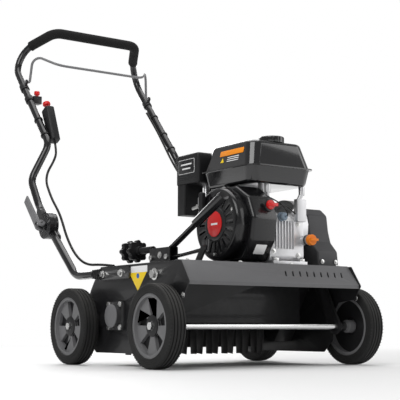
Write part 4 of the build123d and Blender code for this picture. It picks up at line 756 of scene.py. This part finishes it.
# plain label on the front of the shroud and the case details beside it
plate("shroudLabel", rectangle(0.034, 0.028, 0.002), (0.004, engineAxis.y - 0.0915, engineAxis.z - 0.067), (1, 0, 0),
      (0, -0.59, 0.807), 0.0008, "labelWhite", "chassis")
caseBolts = []
for index in range(7):
    a = math.radians(20 + index * 360 / 7)
    caseBolts.append((caseHigh.x - 0.0122, engineAxis.y + 0.068 * math.cos(a), engineAxis.z + 0.068 * math.sin(a)))
screws("caseScrews", caseBolts, (1, 0, 0), "chassis", 0.0055, 0.004)
frontFace = engineAxis.y - 0.087
ribRow("caseFins", 7, (0.058, frontFace - 0.0015, engineAxis.z - 0.026), (0.0095, 0, 0),
       (0.0028, 0.006, 0.072), "cast_aluminium", "chassis", (0, 0, 0), 0.0008)
screws("caseFrontScrews", [(0.051, frontFace, engineAxis.z + 0.018), (0.132, frontFace, engineAxis.z + 0.003),
                           (0.051, frontFace, engineAxis.z - 0.07), (0.132, frontFace, engineAxis.z - 0.078)],
       (0, -1, 0), "chassis", 0.005, 0.004)
revolved("oilSensor", [(0, 0), (0.012, 0), (0.012, 0.005), (0.0105, 0.006), (0.0105, 0.015), (0.008, 0.018),
                       (0.0035, 0.019), (0.003, 0.025), (0, 0.0255)],
         (0.077, frontFace + 0.001, engineAxis.z + 0.02), (0, -1, 0), "sensorGrey", "chassis", 32)
dipLow, dipHigh = [Vector(c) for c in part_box("oil_dipstick")]
neckAt = Vector(((dipLow.x + dipHigh.x) / 2, dipHigh.y + 0.003, (dipLow.z + dipHigh.z) / 2))
revolved("dipstickCollar", [(0.0124, 0), (0.0148, 0), (0.0148, 0.006), (0.0124, 0.007)], neckAt, (0, 1, 0),
         "engine_black", "chassis", 40, True)
wireSettings = {"radius": 0.0016}
switchLow, switchHigh = [Vector(c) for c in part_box("engine_switch")]
switchAt = (switchLow + switchHigh) / 2
revolved("switchBezel", [(0.0125, 0), (0.0165, 0), (0.016, 0.003), (0.0125, 0.0034)],
         (switchAt.x, switchHigh.y + 0.0002, switchAt.z), (0, -1, 0), "engine_black", "chassis", 40, True)
hose("sensorWire", [(0.077, frontFace - 0.024, engineAxis.z + 0.02), (0.077, frontFace - 0.03, engineAxis.z + 0.028),
                    (0.062, frontFace - 0.026, engineAxis.z + 0.045), (0.048, frontFace - 0.014, engineAxis.z + 0.06),
                    (0.044, frontFace + 0.01, engineAxis.z + 0.07)], wireSettings["radius"], "cable_sheath", "chassis")
hose("switchWire", [(0.03, switchHigh.y + 0.006, switchAt.z - 0.006), (0.046, switchHigh.y + 0.004, switchAt.z - 0.014),
                    (0.06, frontFace - 0.018, engineAxis.z + 0.042), (0.09, frontFace - 0.008, engineAxis.z + 0.05),
                    (0.12, frontFace - 0.004, engineAxis.z + 0.03)], wireSettings["radius"], "cable_sheath", "chassis")

# fuel line, governor spring and throttle rod between the tank and the carburettor
carbLow, carbHigh = [Vector(c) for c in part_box("carburettor")]
hose("fuelLine", [(0.0, baseHigh.y - 0.03, baseLow.z + 0.002), (-0.006, baseHigh.y - 0.02, baseLow.z - 0.02),
                  (-0.004, carbLow.y - 0.012, carbLow.z + 0.05), (0.006, carbLow.y + 0.004, carbLow.z + 0.04)],
     0.003, "cable_sheath", "chassis")
springPoints = []
for index in range(12 * 9 + 1):
    a = 2 * math.pi * index / 12
    springPoints.append((0.028 + 0.0032 * math.cos(a), carbLow.y - 0.045 + 0.0003 * index,
                         carbHigh.z - 0.025 + 0.0032 * math.sin(a)))
hose("governorSpring", springPoints, 0.0005, "zinc_steel", "chassis", resolution=2, sides=1)
hose("throttleRod", [(0.028, carbLow.y - 0.014, carbHigh.z - 0.025), (0.028, carbLow.y - 0.006, carbHigh.z - 0.024),
                     (0.022, carbLow.y + 0.002, carbHigh.z - 0.022)], 0.0012, "zinc_steel", "chassis")

# air cleaner: outlined badge without writing, seam ribs, wing nut
lidLow, lidHigh = [Vector(c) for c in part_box("air_cleaner_lid")]
lidAt = (lidLow + lidHigh) / 2
badgePlace = Vector((lidLow.x + 0.0001, lidAt.y, lidAt.z + 0.006))
for name, size, proud, colour in (("Outline", (0.078, 0.040), 0.0006, "labelWhite"),
                                  ("Field", (0.0755, 0.0375), 0.0010, "engine_black")):
    plate("cleanerBadge" + name, rectangle(*size, 0.003), badgePlace, (0, -1, 0), (0, 0, 1), proud, colour, "chassis")
for index, wide in enumerate((0.052, 0.040)):
    place = badgePlace + Vector((-0.0009, 0, 0.006 - 0.012 * index))
    plate(f"cleanerBadgeBar{index}", rectangle(wide, 0.004, 0.0008), place, (0, -1, 0), (0, 0, 1), 0.0004,
          "labelWhite", "chassis", 0.0001)
ribRow("cleanerRibs", 4, (lidLow.x + 0.0001, lidAt.y, lidLow.z + 0.008), (0, 0, 0.006),
       (0.0016, 0.086, 0.0016), "cleaner_plastic", "chassis")
revolved("wingNutHub", [(0, 0), (0.008, 0), (0.0075, 0.004), (0.0055, 0.008), (0, 0.0088)],
         (lidAt.x, lidAt.y, lidHigh.z - 0.0004), (0, 0, 1), "zinc_steel", "chassis", 32)
for sign in (-1, 1):
    roundedBlock(f"wingNutEar{sign + 1}", (lidAt.x + sign * 0.011 - 0.006, lidAt.y - 0.0012, lidHigh.z + 0.001),
                 (lidAt.x + sign * 0.011 + 0.006, lidAt.y + 0.0012, lidHigh.z + 0.0075), "zinc_steel", "chassis",
                 0.0009)

# muffler guard ribs and cylinder's plug lead
mufflerLow, mufflerHigh = [Vector(c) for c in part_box("muffler")]
ribRow("mufflerRibs", 7, (mufflerLow.x + 0.02, (mufflerLow.y + mufflerHigh.y) / 2, mufflerHigh.z - 0.0004),
       (0.0125, 0, 0), (0.005, 0.05, 0.0022), "engine_black", "chassis", (0, 0, 0), 0.0007)
plugAt = Vector((0.095, headHigh.y - 0.006, (headLow.z + headHigh.z) / 2))
revolved("plugBoot", [(0, 0), (0.0085, 0), (0.0085, 0.012), (0.0065, 0.02), (0.0045, 0.024), (0, 0.0245)],
         plugAt, (0, 0.9, 0.44), "cable_sheath", "chassis", 28)
hose("plugLead", [plugAt + Vector((0, 0.02, 0.011)), plugAt + Vector((-0.01, 0.026, 0.02)),
                  plugAt + Vector((-0.034, 0.018, 0.012)), plugAt + Vector((-0.05, -0.012, -0.004))],
     0.0032, "cable_sheath", "chassis")

# ---- body panels ----
print("stage: body details")
plateLow, plateHigh = [Vector(c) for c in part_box("side_plate_left")]
axleY = [(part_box(n)[0][1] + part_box(n)[1][1]) / 2 for n in ("front_axle", "rear_axle")]
midY = sum(axleY) / 2
stickerY = midY - 0.060
stickerX = plateLow.x
plate("stickerTriangle", [(-0.043, 0.012), (0.0, -0.036), (0.043, 0.012)], (stickerX, stickerY, 0.222),
      (0, -1, 0), (0, 0, 1), 0.0005, "labelYellow", "chassis", 0.0001)
plate("stickerBand", rectangle(0.088, 0.016, 0.0015), (stickerX, stickerY, 0.24), (0, -1, 0), (0, 0, 1),
      0.0007, "labelWhite", "chassis", 0.0001)
plate("stickerDot", oval(0.0065, 0.0065, 28), (stickerX - 0.0004, stickerY, 0.2235), (0, -1, 0), (0, 0, 1),
      0.0003, "labelBlue", "chassis", 0.00005)
for sign in (-1, 1):
    faceX = sign * abs(plateLow.x)
    screws(f"noseScrew{sign + 1}", [(faceX, midY - 0.262, 0.172)], (sign, 0, 0), "chassis", 0.005, 0.004)
    capAtX = sign * abs(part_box("rotor_bearings")[0][0])
    rotorY = (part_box("rotor_bearings")[0][1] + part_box("rotor_bearings")[1][1]) / 2
    rotorZ = (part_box("rotor_bearings")[0][2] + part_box("rotor_bearings")[1][2]) / 2
    revolved(f"bearingCap{sign + 1}", [(0, 0), (0.0300, 0), (0.0296, 0.002), (0.024, 0.0045), (0.014, 0.0060), (0, 0.0064)],
             (capAtX - sign * 0.0002, rotorY, rotorZ), (sign, 0, 0), "lever_grey", "chassis", 56)

coverLow, coverHigh = [Vector(c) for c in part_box("belt_cover")]
coverScrews = [(coverHigh.x - 0.0002, y, z) for y, z in ((engineAxis.y - 0.06, 0.29), (engineAxis.y + 0.07, 0.29),
                                                         (engineAxis.y, engineAxis.z + 0.032))]
screws("coverScrews", coverScrews, (1, 0, 0), "chassis", 0.005, 0.0035)
coverFront = [(coverLow.x + 0.012, coverLow.y - 0.0002, 0.268), (coverHigh.x - 0.012, coverLow.y - 0.0002, 0.268)]
screws("coverFrontScrews", coverFront, (0, -1, 0), "chassis", 0.0042, 0.003)

hoodLow, hoodHigh = [Vector(c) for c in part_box("front_hood")]
screws("hoodScrews", [(x, hoodHigh.y - 0.008, hoodHigh.z - 0.0002) for x in (-0.235, -0.08, 0.08, 0.235)], (0, 0, 1),
       "chassis", 0.0045, 0.0032, "zinc_steel")
ribRow("hoodHem", 2, (0, hoodLow.y + 0.0014, hoodLow.z + 0.0008), (0, 0, 0.0075),
       (hoodHigh.x - hoodLow.x - 0.004, 0.003, 0.0018), "hood_paint", "chassis", (0, 0, 0), 0.0006)

# ---- handle ----
print("stage: handle details")
foldY, foldZ = 0.166, 0.384
for joint in frame["joints"]:
    if joint["name"] == "handle_fold":
        foldY, foldZ = joint["pos_m"][1], joint["pos_m"][2]
discSettings = {"rings": (0.020, 0.026, 0.032), "height": 0.0012, "half": 0.0012}
tubeX = 0.285
for sign in (-1, 1):
    for index, radius in enumerate(discSettings["rings"]):
        ring = [(radius - discSettings["half"], 0), (radius + discSettings["half"], 0),
                (radius + 0.0006, discSettings["height"]), (radius - 0.0006, discSettings["height"])]
        revolved(f"discRing{sign + 1}_{index}", ring, (sign * (tubeX + 0.01275), foldY, foldZ), (sign, 0, 0),
                 "tube_gloss", "handle", 56, True)
        revolved(f"innerRing{sign + 1}_{index}", ring, (sign * (tubeX - 0.01275), foldY, foldZ), (-sign, 0, 0),
                 "tube_gloss", "chassis", 56, True)

cableSettings = {"radius": 0.0035, "bendStart": (0, 0.13, 0.372), "bendEnd": (0, 0.196, 0.456)}
outerTail = [(0.2148, 0.268, 0.600), (0.258, 0.254, 0.536), (0.262, 0.200, 0.470), (0.262, 0.156, 0.430),
             (0.262, 0.132, 0.402), (0.262, 0.096, 0.344), (0.261, 0.044, 0.292), (0.260, -0.018, 0.264),
             (0.250, -0.084, 0.263), (0.242, -0.134, 0.257)]
rightRoute = [(0.2093, 0.444, 0.814), (0.2103, 0.396, 0.762), (0.2103, 0.346, 0.702), (0.2093, 0.306, 0.652)]
leftRoute = [(-0.1998, 0.308, 0.6574), (-0.2038, 0.290, 0.632)]
routes = {"driveCable": rightRoute + outerTail, "throttleCable": leftRoute + [(-x, y, z) for x, y, z in outerTail]}
for index, (name, route) in enumerate(routes.items()):
    cable = finishPiece(tubeMesh(name, route, cableSettings["radius"], 14, 4), name, "cable_sheath", None)
    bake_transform(cable)
    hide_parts(("control_cables_upper", "control_cables_lower")[index])

tieSettings = {"radius": 0.0122, "width": 0.0045, "thick": 0.0012}
tubeDir = Vector((0, 0.2889, 0.3293)).normalized()
for sign in (-1, 1):
    for index, y in enumerate((0.318, 0.365, 0.424)):
        if sign < 0 and y > 0.4:
            continue
        tieAt = Vector((sign * 0.2268, y, 0.6426 + (y - 0.291) * 1.1398))
        r, w, t = tieSettings["radius"], tieSettings["width"] / 2, tieSettings["thick"]
        band = [(r - 0.001, -w), (r + t, -w), (r + t, w), (r - 0.001, w)]
        revolved(f"zipTie{sign + 1}_{index}", band, tieAt, tubeDir, "cable_sheath", "handle", 36, True)

boxLow, boxHigh = [Vector(c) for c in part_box("control_box")]
boxAt = (boxLow + boxHigh) / 2
screws("controlBoxScrews", [(boxHigh.x - 0.0003, boxAt.y + d * 0.431, boxAt.z + d * 0.902) for d in (-0.036, 0.036)],
       (1, 0, 0), "handle", 0.0032, 0.0018)
stopLow, stopHigh = [Vector(c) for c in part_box("stop_button")]
stopAt = (stopLow + stopHigh) / 2
revolved("stopCollar", [(0.0062, 0), (0.0098, 0), (0.0094, 0.0006), (0.0062, 0.0008)],
         (stopAt.x, stopAt.y, stopLow.z + 0.0028), (0, 0, 1), "zinc_steel",
         "handle", 32, True)

# ---- lift and depth controls ----
knobLow, knobHigh = [Vector(c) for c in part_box("depth_knob")]
knobAt = (knobLow + knobHigh) / 2
revolved("knobBoss", [(0, 0), (0.011, 0), (0.0105, 0.0024), (0.007, 0.0036), (0, 0.0036)],
         (knobAt.x, knobHigh.y - 0.0004, knobAt.z), (0, 1, 0), "zinc_steel", "knob", 36)
leverLow, leverHigh = [Vector(c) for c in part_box("lift_lever")]
screws("leverPivotBolt", [(-0.1632, -0.234, 0.283)], (-1, 0, 0), "chassis", 0.006, 0.004)

# ---- floor ----
floorMesh = bpy.data.meshes.new("floor")
floorBm = bmesh.new()
bmesh.ops.create_circle(floorBm, cap_ends=True, segments=96, radius=14.0)
floorBm.to_mesh(floorMesh)
floorBm.free()
floor = bpy.data.objects.new("floor", floorMesh)
floor.location.z = -0.0005
bpy.context.scene.collection.objects.link(floor)
floorPaint = bpy.data.materials.new("floorPaint")
floorPaint.use_nodes = True
floorPaint.node_tree.nodes["Principled BSDF"].inputs["Base Color"].default_value = (0.86, 0.86, 0.86, 1)
floorTree = floorPaint.node_tree
floorShader = floorTree.nodes["Principled BSDF"]
floorShader.inputs["Roughness"].default_value = 0.6
# the floor runs out into the white backdrop, so no horizon is seen
spot = floorTree.nodes.new("ShaderNodeTexCoord")
reach = floorTree.nodes.new("ShaderNodeVectorMath")
reach.operation = "LENGTH"
fade = floorTree.nodes.new("ShaderNodeMapRange")
fade.interpolation_type = "SMOOTHSTEP"
fade.inputs["From Min"].default_value = 0.9
fade.inputs["From Max"].default_value = 2.6
glow = floorTree.nodes.new("ShaderNodeEmission")
blend = floorTree.nodes.new("ShaderNodeMixShader")
floorTree.links.new(spot.outputs["Object"], reach.inputs[0])
floorTree.links.new(reach.outputs["Value"], fade.inputs["Value"])
floorTree.links.new(fade.outputs["Result"], blend.inputs[0])
floorTree.links.new(floorShader.outputs[0], blend.inputs[1])
floorTree.links.new(glow.outputs[0], blend.inputs[2])
floorTree.links.new(blend.outputs[0], floorTree.nodes["Material Output"].inputs["Surface"])
floorMesh.materials.append(floorPaint)
